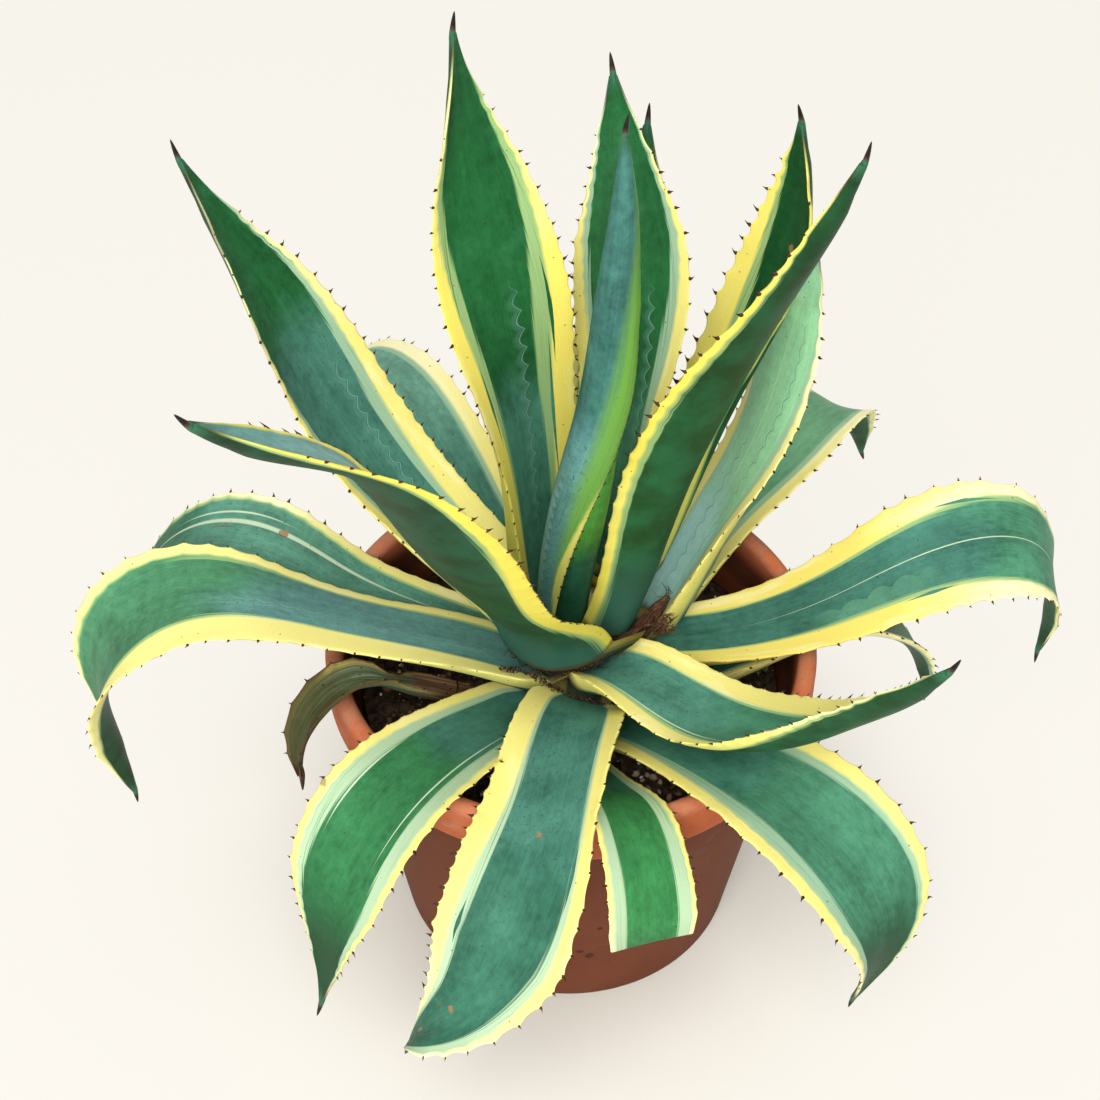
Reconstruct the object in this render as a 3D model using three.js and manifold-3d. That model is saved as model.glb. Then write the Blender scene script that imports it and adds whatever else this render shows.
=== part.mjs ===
// A variegated century plant (Agave americana, yellow-margined form) growing in a round terracotta pot.
// Millimetres, +Z up. The origin is the centre of the pot's underside, and -Y is the front.
import * as THREE from 'three';
import { mergeVertices } from 'three/addons/utils/BufferGeometryUtils.js';
import Module from 'manifold-3d';

const wasm = await Module();
wasm.setup();

// ---------------------------------------------------------------- driving dimensions

const POT = {
  height: 272,
  rimRadius: 180, // a 14 inch pot
  collarDepth: 37,
  collarStep: 11,
  lipWidth: 14,
  footRadius: 131,
  footChamfer: 4,
  wallThickness: 14,
  drainHoles: 3,
  drainHoleRadius: 9,
  drainHoleCircle: 55,
  sides: 48,
};

const SOIL = {
  belowRim: 51,
  mound: 14,
  sides: 28,
  grains: 14,
  grainRadius: 4.5,
};

const STEM = {
  x: 15,
  y: 5,
  foot: 150,
  soilRadius: 34,
  top: 306,
  topRadius: 12,
  sides: 12,
};

const CLEARANCE = 0.35; // between pieces that touch
const LEAF_STATIONS = 13;
const SMALL_LEAF_STATIONS = 5;
const SUBSTEPS = 3;
const MARGIN_THICKNESS = 1.6;
const TIP_THICKNESS = 5;
const BASE_SWELLING = 17; // added to the tip's thickness at the leaf's root
const SPINE = { length: 16, radius: 2, rootDepth: 9, sides: 5 };
const TIP_FLARE = 0.34; // how fast a blade widens back from its spine
const TOOTH = { spacing: 42, height: 4, halfBase: 3.2, rootDepth: 4 };
const TOOTHED_FROM = 0.2;
const TOOTHED_TO = 0.84;

// Each leaf starts at `seat` mm from the stem's axis, `seatTurn` degrees round from its `heading`, at `height`.
// pitch: degrees above the horizontal, evenly spaced from root to tip. turn: degrees that the heading has
// drifted to the left. roll: degrees that the blade is twisted. gutter: half the angle of the blade's channel.
// The list runs from the heart of the rosette outwards.
const LEAVES = [
  {
    name: 'leaf_01', // the furled spear
    heading: 146, height: 294, length: 444, width: 96, seat: 37, seatTurn: 29,
    pitch: [90, 98, 102, 96, 97, 94], turn: [0, 1, 2, 3], roll: [0, 2, 3, 2],
    gutter: [109, 137, 160, 170, 170], furled: true,
  },
  {
    name: 'leaf_02', // upright, right of the spear, its back to the front
    heading: 4, height: 287, length: 434, width: 96, seat: 10, seatTurn: 21,
    pitch: [64, 74, 69, 67, 67, 80], turn: [12, -1, -5, -12], roll: [-21, -37, -28, -21],
    gutter: [72, 58, 57, 35, 85], narrowest: 0.68,
  },
  {
    name: 'leaf_03', // wraps round the heart and leans left
    heading: 192, height: 288, length: 524, width: 104, seat: 46, seatTurn: 15,
    pitch: [68, 53, 56, 63, 37, 57], turn: [37, 59, 31, 38], roll: [-11, -16, 11, 0],
    gutter: [63, 17, 42, 17, 76], narrowest: 0.98, widestAt: 0.37,
  },
  {
    name: 'leaf_04', // behind the spear
    heading: 75, height: 298, length: 383, width: 90, seat: 26, seatTurn: -4,
    pitch: [75, 67, 62, 55, 54, 59], turn: [0, 2, 25, 32], roll: [-36, -41, -24, -27],
    gutter: [52, 36, 19, 25, 47],
  },
  {
    name: 'leaf_05', // the tallest, at the back
    heading: 121, height: 275, length: 471, width: 100, seat: 38, seatTurn: 40,
    pitch: [83, 81, 78, 71, 79, 94], turn: [0, 7, 13, 34], roll: [20, 21, -10, 15],
    gutter: [49, 36, 24, 22, 28],
  },
  {
    name: 'leaf_06', // back, its tip just showing between two others
    heading: 85, height: 255, length: 372, width: 74, seat: 44, seatTurn: 0,
    pitch: [49, 50, 52, 54, 55, 57], turn: [0, -3, -4, -3], roll: [0, -1, -1, -1],
    gutter: [47, 36, 30, 33, 43],
  },
  {
    name: 'leaf_07', // upright, right back
    heading: 42, height: 305, length: 375, width: 77, seat: 57, seatTurn: 16,
    pitch: [58, 57, 59, 68, 89, 105], turn: [0, -6, -7, -12], roll: [2, -22, -6, -7],
    gutter: [52, 49, 48, 33, 37],
  },
  {
    name: 'leaf_08', // upright, left back
    heading: 158, height: 262, length: 454, width: 96, seat: 35, seatTurn: 7,
    pitch: [39, 41, 55, 62, 56, 69], turn: [0, 3, 1, -2], roll: [4, -2, -1, 26],
    gutter: [51, 36, 22, 29, 32],
  },
  {
    name: 'leaf_09', // pale, right, outside the upright pair
    heading: 36, height: 264, length: 342, width: 88, seat: 47, seatTurn: -9,
    pitch: [50, 58, 64, 73, 79, 81], turn: [2, -9, 6, 24], roll: [-21, -22, -14, 0],
    gutter: [41, 24, 3, 3, 18], widestAt: 0.35,
  },
  {
    name: 'leaf_10', // forward right, its tip turned up
    heading: 317, height: 257, length: 411, width: 85, seat: 24, seatTurn: -52,
    pitch: [45, 10, 29, 51, 54, 69], turn: [-3, -2, -4, 3], roll: [1, -6, -15, -17],
    gutter: [49, 10, 30, 37, 88], narrowest: 0.58, widestAt: 0.43,
  },
  {
    name: 'leaf_11', // long, arching to the right
    heading: 0, height: 269, length: 453, width: 95, seat: 42, seatTurn: -6,
    pitch: [3, 17, 23, -16, -79, -95], turn: [0, 14, 20, 23], roll: [-8, -1, 27, 13],
    gutter: [19, 3, 3, 6, 20],
  },
  {
    name: 'leaf_12', // arching over the pot's front
    heading: 261, height: 252, length: 391, width: 101, seat: 51, seatTurn: 1,
    pitch: [37, 12, -18, -48, -50, -78], turn: [0, -2, -41, -151], roll: [-10, 26, -22, -31],
    gutter: [24, 32, 40, 20, 16],
  },
  {
    name: 'leaf_13', // long, arching to the left
    heading: 187, height: 255, length: 530, width: 100, seat: 40, seatTurn: 27,
    pitch: [31, 13, 12, -45, -93, -95], turn: [-2, -9, -4, -11], roll: [13, 18, -18, 4],
    gutter: [14, 2, 12, 43, 26], narrowest: 0.63,
  },
  {
    name: 'leaf_14', // left, under the long one
    heading: 171, height: 246, length: 413, width: 89, seat: 60, seatTurn: 5,
    pitch: [12, 16, 25, -25, -60, -84], turn: [0, -5, -9, -8], roll: [-2, 8, -3, 2],
    gutter: [34, 12, 19, 19, 27],
  },
  {
    name: 'leaf_15', // back, arching down behind
    heading: 125, height: 246, length: 406, width: 82, seat: 59, seatTurn: 20,
    pitch: [42, 30, 18, -14, -50, -81], turn: [0, 0, -2, 1], roll: [0, 0, -4, -2],
    gutter: [42, 31, 24, 23, 27],
  },
  {
    name: 'leaf_16', // right back, arching
    heading: 47, height: 239, length: 348, width: 84, seat: 47, seatTurn: -3,
    pitch: [36, 34, 17, 11, -58, -72], turn: [0, -2, 1, -6], roll: [4, -11, -11, -17],
    gutter: [55, 30, 20, 20, 42],
  },
  {
    name: 'leaf_17', // front left, over the rim
    heading: 233, height: 237, length: 376, width: 90, seat: 53, seatTurn: -8,
    pitch: [21, 22, 2, -52, -83, -72], turn: [0, 0, -4, -16], roll: [-1, 6, 2, 11],
    gutter: [25, 17, 18, 13, 15],
  },
  {
    name: 'leaf_18', // front right, over the rim
    heading: 311, height: 231, length: 410, width: 100, seat: 55, seatTurn: -21,
    pitch: [36, 21, 2, -43, -96, -104], turn: [0, 6, 12, 11], roll: [-2, -5, 10, 9],
    gutter: [23, 15, 12, 17, 22],
  },
  {
    name: 'leaf_19', // right, under the long one
    heading: 13, height: 228, length: 303, width: 63, seat: 51, seatTurn: -37,
    pitch: [27, 24, 15, -31, -66, -87], turn: [0, 0, 2, 4], roll: [-4, -8, -10, -9],
    gutter: [37, 28, 27, 23, 25],
  },
  {
    name: 'leaf_cut', // front, cut off square
    heading: 282, height: 230, length: 221, width: 66, seat: 85, seatTurn: -14,
    pitch: [28, 31, 32, -3, -50, -101], turn: [0, 7, 4, -5], roll: [-19, -20, -23, -9],
    gutter: [26, 16, 16, 3, 3], cutAt: 0.62, narrowest: 0.36, widestAt: 0.42,
  },
  {
    name: 'leaf_withered', // small, shrivelled, over the rim at the left
    heading: 200, height: 226, length: 233, width: 43, seat: 82, seatTurn: 3,
    pitch: [29, 34, 35, -28, -77, -94], turn: [0, 3, 16, 30], roll: [14, 20, 11, 4],
    gutter: [63, 50, 53, 58, 66], thin: true,
  },
  {
    name: 'dry_husk', // papery scrap of a dead leaf at the foot of the rosette
    heading: 42, height: 260, length: 60, width: 15, seat: 27, seatTurn: -86,
    pitch: [25, 32, 30, 22], turn: [0, 4, 8], roll: [-20, -10, 10],
    gutter: [70, 60, 75], thin: true, bare: true,
  },
];

// A weed seedling by the pot's wall, with two rounded leaves on a short stem.
const SEEDLING = {
  x: 141,
  y: 8,
  stemRadius: 1.8,
  stemDepth: 8,
  stemHeight: 7,
  leafLength: 22,
  leafWidth: 14,
  headings: [165, 60],
};

const LEAF_COLOUR = '#5f8f78';
const WITHERED_COLOUR = '#5c6a4c';
const TERRACOTTA_COLOUR = '#b9634c';
const SOIL_COLOUR = '#1d1410';
const STEM_COLOUR = '#b9b86a';

// ---------------------------------------------------------------- solids and meshes

const radians = THREE.MathUtils.degToRad;
const clamp = THREE.MathUtils.clamp;

// A closed geometry, or plain points and faces, as a solid that can be cut and joined.
function solidOf(geometry) {
  const bare = geometry.clone();
  bare.deleteAttribute('normal');
  bare.deleteAttribute('uv');
  const merged = mergeVertices(bare, 1e-4);
  return new wasm.Manifold(new wasm.Mesh({
    numProp: 3,
    vertProperties: merged.attributes.position.array,
    triVerts: new Uint32Array(merged.index.array),
  }));
}

function solidOfFaces(points, faces) {
  const geometry = new THREE.BufferGeometry();
  geometry.setAttribute('position', new THREE.Float32BufferAttribute(points.flatMap((p) => p.toArray()), 3));
  geometry.setIndex(faces.flat());
  return solidOf(geometry);
}

function geometryOf(solid) {
  const mesh = solid.getMesh();
  const geometry = new THREE.BufferGeometry();
  geometry.setAttribute('position', new THREE.BufferAttribute(mesh.vertProperties, mesh.numProp));
  geometry.setIndex(new THREE.BufferAttribute(mesh.triVerts, 1));
  geometry.computeVertexNormals();
  return geometry;
}

// A solid turned about the upright axis from a profile of radius and height, listed from the bottom up outside.
function turnedSolid(profile, sides, x = 0, y = 0) {
  const geometry = new THREE.LatheGeometry(profile, sides);
  geometry.rotateX(Math.PI / 2);
  geometry.translate(x, y, 0);
  return solidOf(geometry);
}

// Cutting can leave crumbs, and only the largest body is kept.
function largestBody(solid) {
  const bodies = solid.decompose();
  return bodies.reduce((best, body) => (body.volume() > best.volume() ? body : best));
}

function meshOf(name, solid, colour, roughness) {
  const material = new THREE.MeshStandardMaterial({ color: colour, roughness, metalness: 0, flatShading: true });
  const mesh = new THREE.Mesh(geometryOf(solid), material);
  mesh.name = name;
  return mesh;
}

// The same sequence of numbers from 0 to 1 on every run.
function seededRandom(seed) {
  let state = seed;
  return () => {
    state = (state * 16807) % 2147483647;
    return state / 2147483647;
  };
}

// ---------------------------------------------------------------- a leaf's form

// A smooth curve through evenly spaced values, with t from 0 to 1 along them.
function glide(values, t) {
  const last = values.length - 1;
  const x = clamp(t, 0, 1) * last;
  const i = Math.min(Math.floor(x), last - 1);
  const f = x - i;
  const at = (k) => values[clamp(k, 0, last)];
  const slopeIn = (at(i + 1) - at(i - 1)) / 2;
  const slopeOut = (at(i + 2) - at(i)) / 2;
  const f2 = f * f;
  const f3 = f2 * f;
  return (2 * f3 - 3 * f2 + 1) * at(i) + (f3 - 2 * f2 + f) * slopeIn
    + (3 * f2 - 2 * f3) * at(i + 1) + (f3 - f2) * slopeOut;
}

// Share of the leaf's greatest width: narrow over the clasping root, widest half way, then drawn to a point.
function widthShare(leaf, t) {
  const widestAt = leaf.widestAt ?? 0.5;
  const narrowest = leaf.narrowest ?? 0.62;
  const whole = t * (leaf.cutAt ?? 1);
  if (whole < widestAt) return narrowest + (1 - narrowest) * Math.sin((Math.PI / 2) * (whole / widestAt));
  return Math.cos((Math.PI / 2) * ((whole - widestAt) / (1 - widestAt))) ** 0.9;
}

function halfWidth(leaf, t) {
  const wide = (leaf.width / 2) * widthShare(leaf, t);
  if (!hasSpine(leaf)) return Math.max(wide, MARGIN_THICKNESS);
  const beforeSpine = (1 - t) * leaf.length - SPINE.length;
  const tapering = SPINE.radius + TIP_FLARE * Math.max(beforeSpine, 0);
  return Math.min(wide, leaf.furled ? tapering * radians(glide(leaf.gutter, t)) : tapering);
}

function keelThickness(leaf, t) {
  const full = TIP_THICKNESS + BASE_SWELLING * (1 - t) ** 2.2;
  return (leaf.thin ? 0.3 : 1) * full;
}

function frameAt(leaf, t) {
  const pitch = radians(glide(leaf.pitch, t));
  const heading = radians(leaf.heading + glide(leaf.turn, t));
  const roll = radians(glide(leaf.roll, t));
  const along = new THREE.Vector3(
    Math.cos(pitch) * Math.cos(heading),
    Math.cos(pitch) * Math.sin(heading),
    Math.sin(pitch),
  );
  const level = new THREE.Vector3(-Math.sin(heading), Math.cos(heading), 0);
  const raised = along.clone().cross(level);
  const left = level.clone().multiplyScalar(Math.cos(roll)).addScaledVector(raised, Math.sin(roll));
  const upper = raised.clone().multiplyScalar(Math.cos(roll)).addScaledVector(level, -Math.sin(roll));
  return { along, left, upper };
}

function seatOf(leaf) {
  const angle = radians(leaf.heading + leaf.seatTurn);
  return new THREE.Vector3(
    STEM.x + leaf.seat * Math.cos(angle),
    STEM.y + leaf.seat * Math.sin(angle),
    leaf.height,
  );
}

function hasSpine(leaf) {
  return !leaf.cutAt && !leaf.bare;
}

// The leaf's midline as frames: a place, the ways along, left and up from the blade, and t from root to tip.
function midline(leaf) {
  const place = leaf.at ? leaf.at.clone() : seatOf(leaf);
  const lastBladeT = hasSpine(leaf) ? 1 - SPINE.length / leaf.length : 1;
  const stations = [{ t: 0, place: place.clone(), ...frameAt(leaf, 0) }];
  const steps = (leaf.bare ? SMALL_LEAF_STATIONS : LEAF_STATIONS) * SUBSTEPS;
  for (let i = 1; i <= steps; i += 1) {
    const middle = ((i - 0.5) / steps) * lastBladeT;
    place.addScaledVector(frameAt(leaf, middle).along, (leaf.length * lastBladeT) / steps);
    const t = (i / steps) * lastBladeT;
    if (i % SUBSTEPS === 0) stations.push({ t, place: place.clone(), ...frameAt(leaf, t) });
  }
  return stations;
}

// A frame of the midline at any t, straight between the blade's own stations.
function stationBetween(stations, leaf, t) {
  const next = stations.findIndex((station) => station.t > t);
  const before = stations[next - 1];
  const after = stations[next];
  const share = (t - before.t) / (after.t - before.t);
  return { t, place: before.place.clone().lerp(after.place, share), ...frameAt(leaf, t) };
}

// A point of the blade: v is -1 at the right margin and 1 at the left, depth is how far below the upper face.
function bladePoint(leaf, station, v, depth, clearance = 0) {
  const channel = radians(Math.max(glide(leaf.gutter, station.t), 2));
  const half = halfWidth(leaf, station.t) + clearance;
  const radius = half / channel;
  const angle = channel * v;
  const inward = station.upper.clone().multiplyScalar(Math.cos(angle)).addScaledVector(station.left, -Math.sin(angle));
  return station.place.clone()
    .addScaledVector(station.left, radius * Math.sin(angle))
    .addScaledVector(station.upper, radius * (1 - Math.cos(angle)))
    .addScaledVector(inward, -depth);
}

function thicknessAt(leaf, t, v) {
  const margin = leaf.thin ? MARGIN_THICKNESS * 0.7 : MARGIN_THICKNESS;
  const nearTip = clamp((1 - t) * 8, 0.75, 1);
  return margin + Math.max(keelThickness(leaf, t) * nearTip - margin, 0) * (1 - v * v);
}

// Two faces over one grid, split into triangles alike, with a thin wall round the edge.
function shellSolid(upper, lower) {
  const rows = upper.length;
  const columns = upper[0].length;
  const points = [...upper.flat(), ...lower.flat()];
  const top = (i, j) => i * columns + j;
  const under = (i, j) => (rows + i) * columns + j;
  const faces = [];
  for (let i = 0; i < rows - 1; i += 1) {
    for (let j = 0; j < columns - 1; j += 1) {
      faces.push([top(i, j), top(i + 1, j), top(i + 1, j + 1)]);
      faces.push([top(i, j), top(i + 1, j + 1), top(i, j + 1)]);
      faces.push([under(i, j), under(i + 1, j + 1), under(i + 1, j)]);
      faces.push([under(i, j), under(i, j + 1), under(i + 1, j + 1)]);
    }
  }
  const wall = (a, b, c, d) => faces.push([a, b, c], [a, c, d]);
  for (let i = 0; i < rows - 1; i += 1) {
    wall(top(i, 0), under(i, 0), under(i + 1, 0), top(i + 1, 0));
    wall(top(i, columns - 1), top(i + 1, columns - 1), under(i + 1, columns - 1), under(i, columns - 1));
  }
  for (let j = 0; j < columns - 1; j += 1) {
    wall(top(0, j), top(0, j + 1), under(0, j + 1), under(0, j));
    wall(top(rows - 1, j), under(rows - 1, j), under(rows - 1, j + 1), top(rows - 1, j + 1));
  }
  return solidOfFaces(points, faces);
}

// The root runs on from the seat towards the stem, so that every leaf is carried by the stem or its neighbour.
function rootStation(first) {
  const place = first.place.clone();
  const toAxis = new THREE.Vector3(STEM.x - place.x, STEM.y - place.y, 0);
  const reach = Math.max(toAxis.length() - STEM.soilRadius * 0.6, 0);
  place.addScaledVector(toAxis.normalize(), reach);
  return { ...first, place };
}

function bladeSolid(leaf, clearance = 0) {
  const widestChannel = Math.max(...leaf.gutter);
  const cells = widestChannel > 60 && !leaf.thin ? 6 : 4;
  const stations = midline(leaf);
  if (leaf.seat > STEM.soilRadius) stations.unshift(rootStation(stations[0]));
  const across = Array.from({ length: cells + 1 }, (_, j) => (2 * j) / cells - 1);
  const upper = stations.map((station) => across.map((v) => bladePoint(leaf, station, v, -clearance, clearance)));
  const lower = stations.map((station) => across.map((v) => {
    const depth = thicknessAt(leaf, station.t, v) + clearance;
    return bladePoint(leaf, station, v, depth, clearance);
  }));
  return shellSolid(upper, lower);
}

// The newest leaf is still rolled up into a spear: a round section that shrinks to its point.
function spearSolid(leaf, clearance = 0) {
  const sides = 12;
  const stations = midline(leaf);
  const points = [];
  const faces = [];
  stations.forEach((station, i) => {
    const radius = halfWidth(leaf, station.t) / radians(glide(leaf.gutter, station.t));
    const centre = station.place.clone().addScaledVector(station.upper, radius);
    for (let k = 0; k < sides; k += 1) {
      const angle = (2 * Math.PI * k) / sides;
      points.push(centre.clone()
        .addScaledVector(station.left, (radius + clearance) * Math.cos(angle))
        .addScaledVector(station.upper, (radius + clearance) * Math.sin(angle)));
      if (i === 0) continue;
      const a = (i - 1) * sides + k;
      const b = (i - 1) * sides + ((k + 1) % sides);
      faces.push([a, b, b + sides], [a, b + sides, a + sides]);
    }
  });
  for (let k = 1; k < sides - 1; k += 1) {
    const end = (stations.length - 1) * sides;
    faces.push([0, k + 1, k], [end, end + k, end + k + 1]);
  }
  return solidOfFaces(points, faces);
}

// A horny point on the tip, its root sunk in the blade.
function spineSolid(leaf) {
  const last = midline(leaf).at(-1);
  const geometry = new THREE.ConeGeometry(SPINE.radius, SPINE.length + SPINE.rootDepth, SPINE.sides);
  const turn = new THREE.Quaternion().setFromUnitVectors(new THREE.Vector3(0, 1, 0), last.along);
  const middle = bladePoint(leaf, last, 0, thicknessAt(leaf, last.t, 0) / 2)
    .addScaledVector(last.along, (SPINE.length - SPINE.rootDepth) / 2);
  geometry.applyMatrix4(new THREE.Matrix4().compose(middle, turn, new THREE.Vector3(1, 1, 1)));
  return solidOf(geometry);
}

// A three-sided hooked tooth on the margin, its root sunk between the blade's two faces.
function toothSolid(leaf, t, side, clearance = 0) {
  const half = (TOOTH.halfBase + clearance) / leaf.length;
  const stationAt = (share) => stationBetween(midline(leaf), leaf, share);
  const middle = stationAt(t);
  const sunk = side * (1 - TOOTH.rootDepth / halfWidth(leaf, t));
  const edge = bladePoint(leaf, middle, side, MARGIN_THICKNESS / 2);
  const outward = edge.clone().sub(bladePoint(leaf, middle, sunk, MARGIN_THICKNESS / 2)).normalize();
  const tip = edge.clone()
    .addScaledVector(outward, TOOTH.height + clearance)
    .addScaledVector(middle.along, TOOTH.halfBase);
  const points = [
    bladePoint(leaf, stationAt(t - half), sunk, MARGIN_THICKNESS + clearance),
    bladePoint(leaf, stationAt(t + half), sunk, MARGIN_THICKNESS + clearance),
    bladePoint(leaf, middle, sunk, MARGIN_THICKNESS / 4 - clearance),
    tip,
  ];
  const leftFaces = [[0, 1, 2], [0, 3, 1], [1, 3, 2], [2, 3, 0]];
  const rightFaces = leftFaces.map(([a, b, c]) => [a, c, b]);
  return solidOfFaces(points, side > 0 ? leftFaces : rightFaces);
}

// Places along each margin's toothed stretch, evenly spaced.
function toothPlaces(leaf) {
  const stretch = TOOTHED_TO - TOOTHED_FROM;
  const count = Math.round((stretch * leaf.length) / TOOTH.spacing);
  return Array.from({ length: count }, (_, k) => TOOTHED_FROM + (stretch * (k + 0.5)) / count);
}

// ---------------------------------------------------------------- pot, soil and stem

// A quarter or half turn of a rounded edge, as points of a profile.
function roundedEdge(x, y, radius, from, to, steps) {
  return Array.from({ length: steps + 1 }, (_, k) => {
    const angle = radians(from + ((to - from) * k) / steps);
    return new THREE.Vector2(x + radius * Math.cos(angle), y + radius * Math.sin(angle));
  });
}

const WALL_TOP = POT.height - POT.collarDepth;
const WALL_RADIUS = POT.rimRadius - POT.collarStep - 3;

// Radius of the pot's inside at a height.
function insideRadius(z) {
  const share = (z - POT.wallThickness) / (POT.height - POT.wallThickness);
  const floor = POT.footRadius - POT.wallThickness;
  const mouth = POT.rimRadius - POT.lipWidth - 2;
  return floor + (mouth - floor) * share;
}

function potSolid(clearance = 0) {
  const lip = POT.lipWidth / 2;
  const profile = [
    new THREE.Vector2(0, 0),
    new THREE.Vector2(POT.footRadius - POT.footChamfer, 0),
    new THREE.Vector2(POT.footRadius, POT.footChamfer),
    new THREE.Vector2(WALL_RADIUS, WALL_TOP - 2),
    ...roundedEdge(POT.rimRadius - 7, WALL_TOP + 5, 5, -90, -10, 2),
    ...roundedEdge(POT.rimRadius - lip, POT.height - lip, lip + clearance, 0, 180, 4),
    new THREE.Vector2(insideRadius(POT.wallThickness + 6), POT.wallThickness + 6),
    new THREE.Vector2(insideRadius(POT.wallThickness) - 6, POT.wallThickness),
    new THREE.Vector2(0, POT.wallThickness),
  ];
  let pot = turnedSolid(profile, POT.sides);
  for (let k = 0; k < POT.drainHoles; k += 1) {
    const angle = (2 * Math.PI * k) / POT.drainHoles;
    const hole = new THREE.CylinderGeometry(POT.drainHoleRadius, POT.drainHoleRadius, POT.wallThickness * 3, 12);
    hole.rotateX(Math.PI / 2);
    hole.translate(POT.drainHoleCircle * Math.cos(angle), POT.drainHoleCircle * Math.sin(angle), 0);
    pot = pot.subtract(solidOf(hole));
  }
  return pot;
}

const SOIL_EDGE = POT.height - SOIL.belowRim;

function soilTop(radius) {
  const share = clamp(radius / insideRadius(SOIL_EDGE), 0, 1);
  return SOIL_EDGE + SOIL.mound * (1 - share * share);
}

function stemSolid(clearance = 0) {
  const profile = [
    new THREE.Vector2(0, STEM.foot - clearance),
    new THREE.Vector2(STEM.soilRadius + clearance, STEM.foot - clearance),
    new THREE.Vector2(STEM.soilRadius + clearance, SOIL_EDGE + SOIL.mound),
    new THREE.Vector2(STEM.topRadius + clearance, STEM.top + clearance),
    new THREE.Vector2(0, STEM.top + clearance),
  ];
  return turnedSolid(profile, STEM.sides, STEM.x, STEM.y);
}

// The body of soil fills the pot to a low mound. Raised by a clearance, it is what leaves are cut back to.
function soilBody(clearance = 0) {
  const rings = 4;
  const floor = POT.wallThickness + CLEARANCE;
  const surface = Array.from({ length: rings + 1 }, (_, k) => {
    const radius = (insideRadius(SOIL_EDGE) - CLEARANCE) * (1 - k / rings);
    return new THREE.Vector2(radius, soilTop(radius) + clearance);
  });
  const profile = [
    new THREE.Vector2(0, floor),
    new THREE.Vector2(insideRadius(floor) - 6 - CLEARANCE, floor),
    new THREE.Vector2(insideRadius(floor + 6) - CLEARANCE, floor + 6),
    ...surface,
  ];
  return turnedSolid(profile, SOIL.sides);
}

// Grains of pumice lie half sunk in the open soil, never under the rosette's heart.
function grainSolids() {
  const random = seededRandom(11);
  return Array.from({ length: SOIL.grains }, () => {
    const angle = 2 * Math.PI * random();
    const distance = 95 + 45 * random();
    const grain = new THREE.IcosahedronGeometry(SOIL.grainRadius * (0.6 + 0.6 * random()), 0);
    grain.scale(1.2, 1, 0.8);
    grain.rotateZ(angle * 3);
    grain.translate(distance * Math.cos(angle), distance * Math.sin(angle), soilTop(distance));
    return solidOf(grain);
  });
}

// A plain round rod standing upright.
function rodSolid(x, y, bottom, top, radius, sides) {
  const rod = new THREE.CylinderGeometry(radius, radius, top - bottom, sides);
  rod.rotateX(Math.PI / 2);
  rod.translate(x, y, (top + bottom) / 2);
  return solidOf(rod);
}

function seedlingStem(clearance = 0) {
  const ground = soilTop(Math.hypot(SEEDLING.x, SEEDLING.y));
  const bottom = ground - SEEDLING.stemDepth - clearance;
  return rodSolid(SEEDLING.x, SEEDLING.y, bottom, ground + SEEDLING.stemHeight, SEEDLING.stemRadius + clearance, 6);
}

function seedlingSolid() {
  const ground = soilTop(Math.hypot(SEEDLING.x, SEEDLING.y));
  const blades = SEEDLING.headings.map((heading) => bladeSolid({
    heading,
    at: new THREE.Vector3(SEEDLING.x, SEEDLING.y, ground + SEEDLING.stemHeight - 1),
    length: SEEDLING.leafLength,
    width: SEEDLING.leafWidth,
    pitch: [40, 5],
    turn: [0, 0],
    roll: [0, 0],
    gutter: [20, 20],
    thin: true,
    bare: true,
  }));
  return blades.reduce((joined, blade) => joined.add(blade), seedlingStem());
}

// ---------------------------------------------------------------- assembly

function inner(leaf, clearance) {
  return leaf.furled ? spearSolid(leaf, clearance) : bladeSolid(leaf, clearance);
}

// Each leaf gives way to the pot, the soil, the stem and every leaf nearer the heart than itself.
function fittedBlades() {
  const taken = [potSolid(CLEARANCE), soilBody(CLEARANCE), stemSolid(CLEARANCE)];
  return LEAVES.map((leaf) => {
    const blade = largestBody(taken.reduce((rest, other) => rest.subtract(other), inner(leaf, 0)));
    taken.push(inner(leaf, CLEARANCE));
    return { leaf, blade };
  });
}

// A leaf with its spine and its teeth, leaving out any tooth that a neighbour presses flat.
function finishedLeaf({ leaf, blade }, neighbours) {
  if (leaf.bare) return blade;
  const clear = (solid) => neighbours.every((other) => solid.intersect(other).isEmpty());
  const teeth = leaf.furled || leaf.thin ? [] : toothPlaces(leaf)
    .flatMap((t) => [-1, 1].filter((side) => clear(toothSolid(leaf, t, side, CLEARANCE)))
      .map((side) => toothSolid(leaf, t, side)));
  const added = hasSpine(leaf) ? [...teeth, spineSolid(leaf)] : teeth;
  return added.reduce((joined, piece) => joined.add(piece), blade);
}

const group = new THREE.Group();
const fitted = fittedBlades();
const pot = potSolid();
fitted.forEach((entry) => {
  const neighbours = [...fitted.filter((other) => other !== entry).map((other) => other.blade), pot];
  const colour = entry.leaf.thin ? WITHERED_COLOUR : LEAF_COLOUR;
  group.add(meshOf(entry.leaf.name, finishedLeaf(entry, neighbours), colour, 0.55));
});
const soil = grainSolids().reduce((joined, grain) => joined.add(grain), soilBody())
  .subtract(stemSolid(CLEARANCE)).subtract(seedlingStem(CLEARANCE));
group.add(
  meshOf('pot', pot, TERRACOTTA_COLOUR, 0.85),
  meshOf('soil', soil, SOIL_COLOUR, 0.95),
  meshOf('stem', stemSolid(), STEM_COLOUR, 0.7),
  meshOf('seedling', seedlingSolid(), LEAF_COLOUR, 0.6),
);

export default group;
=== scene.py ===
# A variegated century plant (Agave americana, yellow-margined form) in a round terracotta pot.
# The parts' lengths are millimetres and their angles degrees, and MM turns millimetres into metres.
# Shaders, lamps and the camera are in metres.
import math
from dataclasses import dataclass, field, replace

import bmesh
import bpy
import numpy as np
from mathutils import Euler, Matrix, Vector, noise


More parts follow.
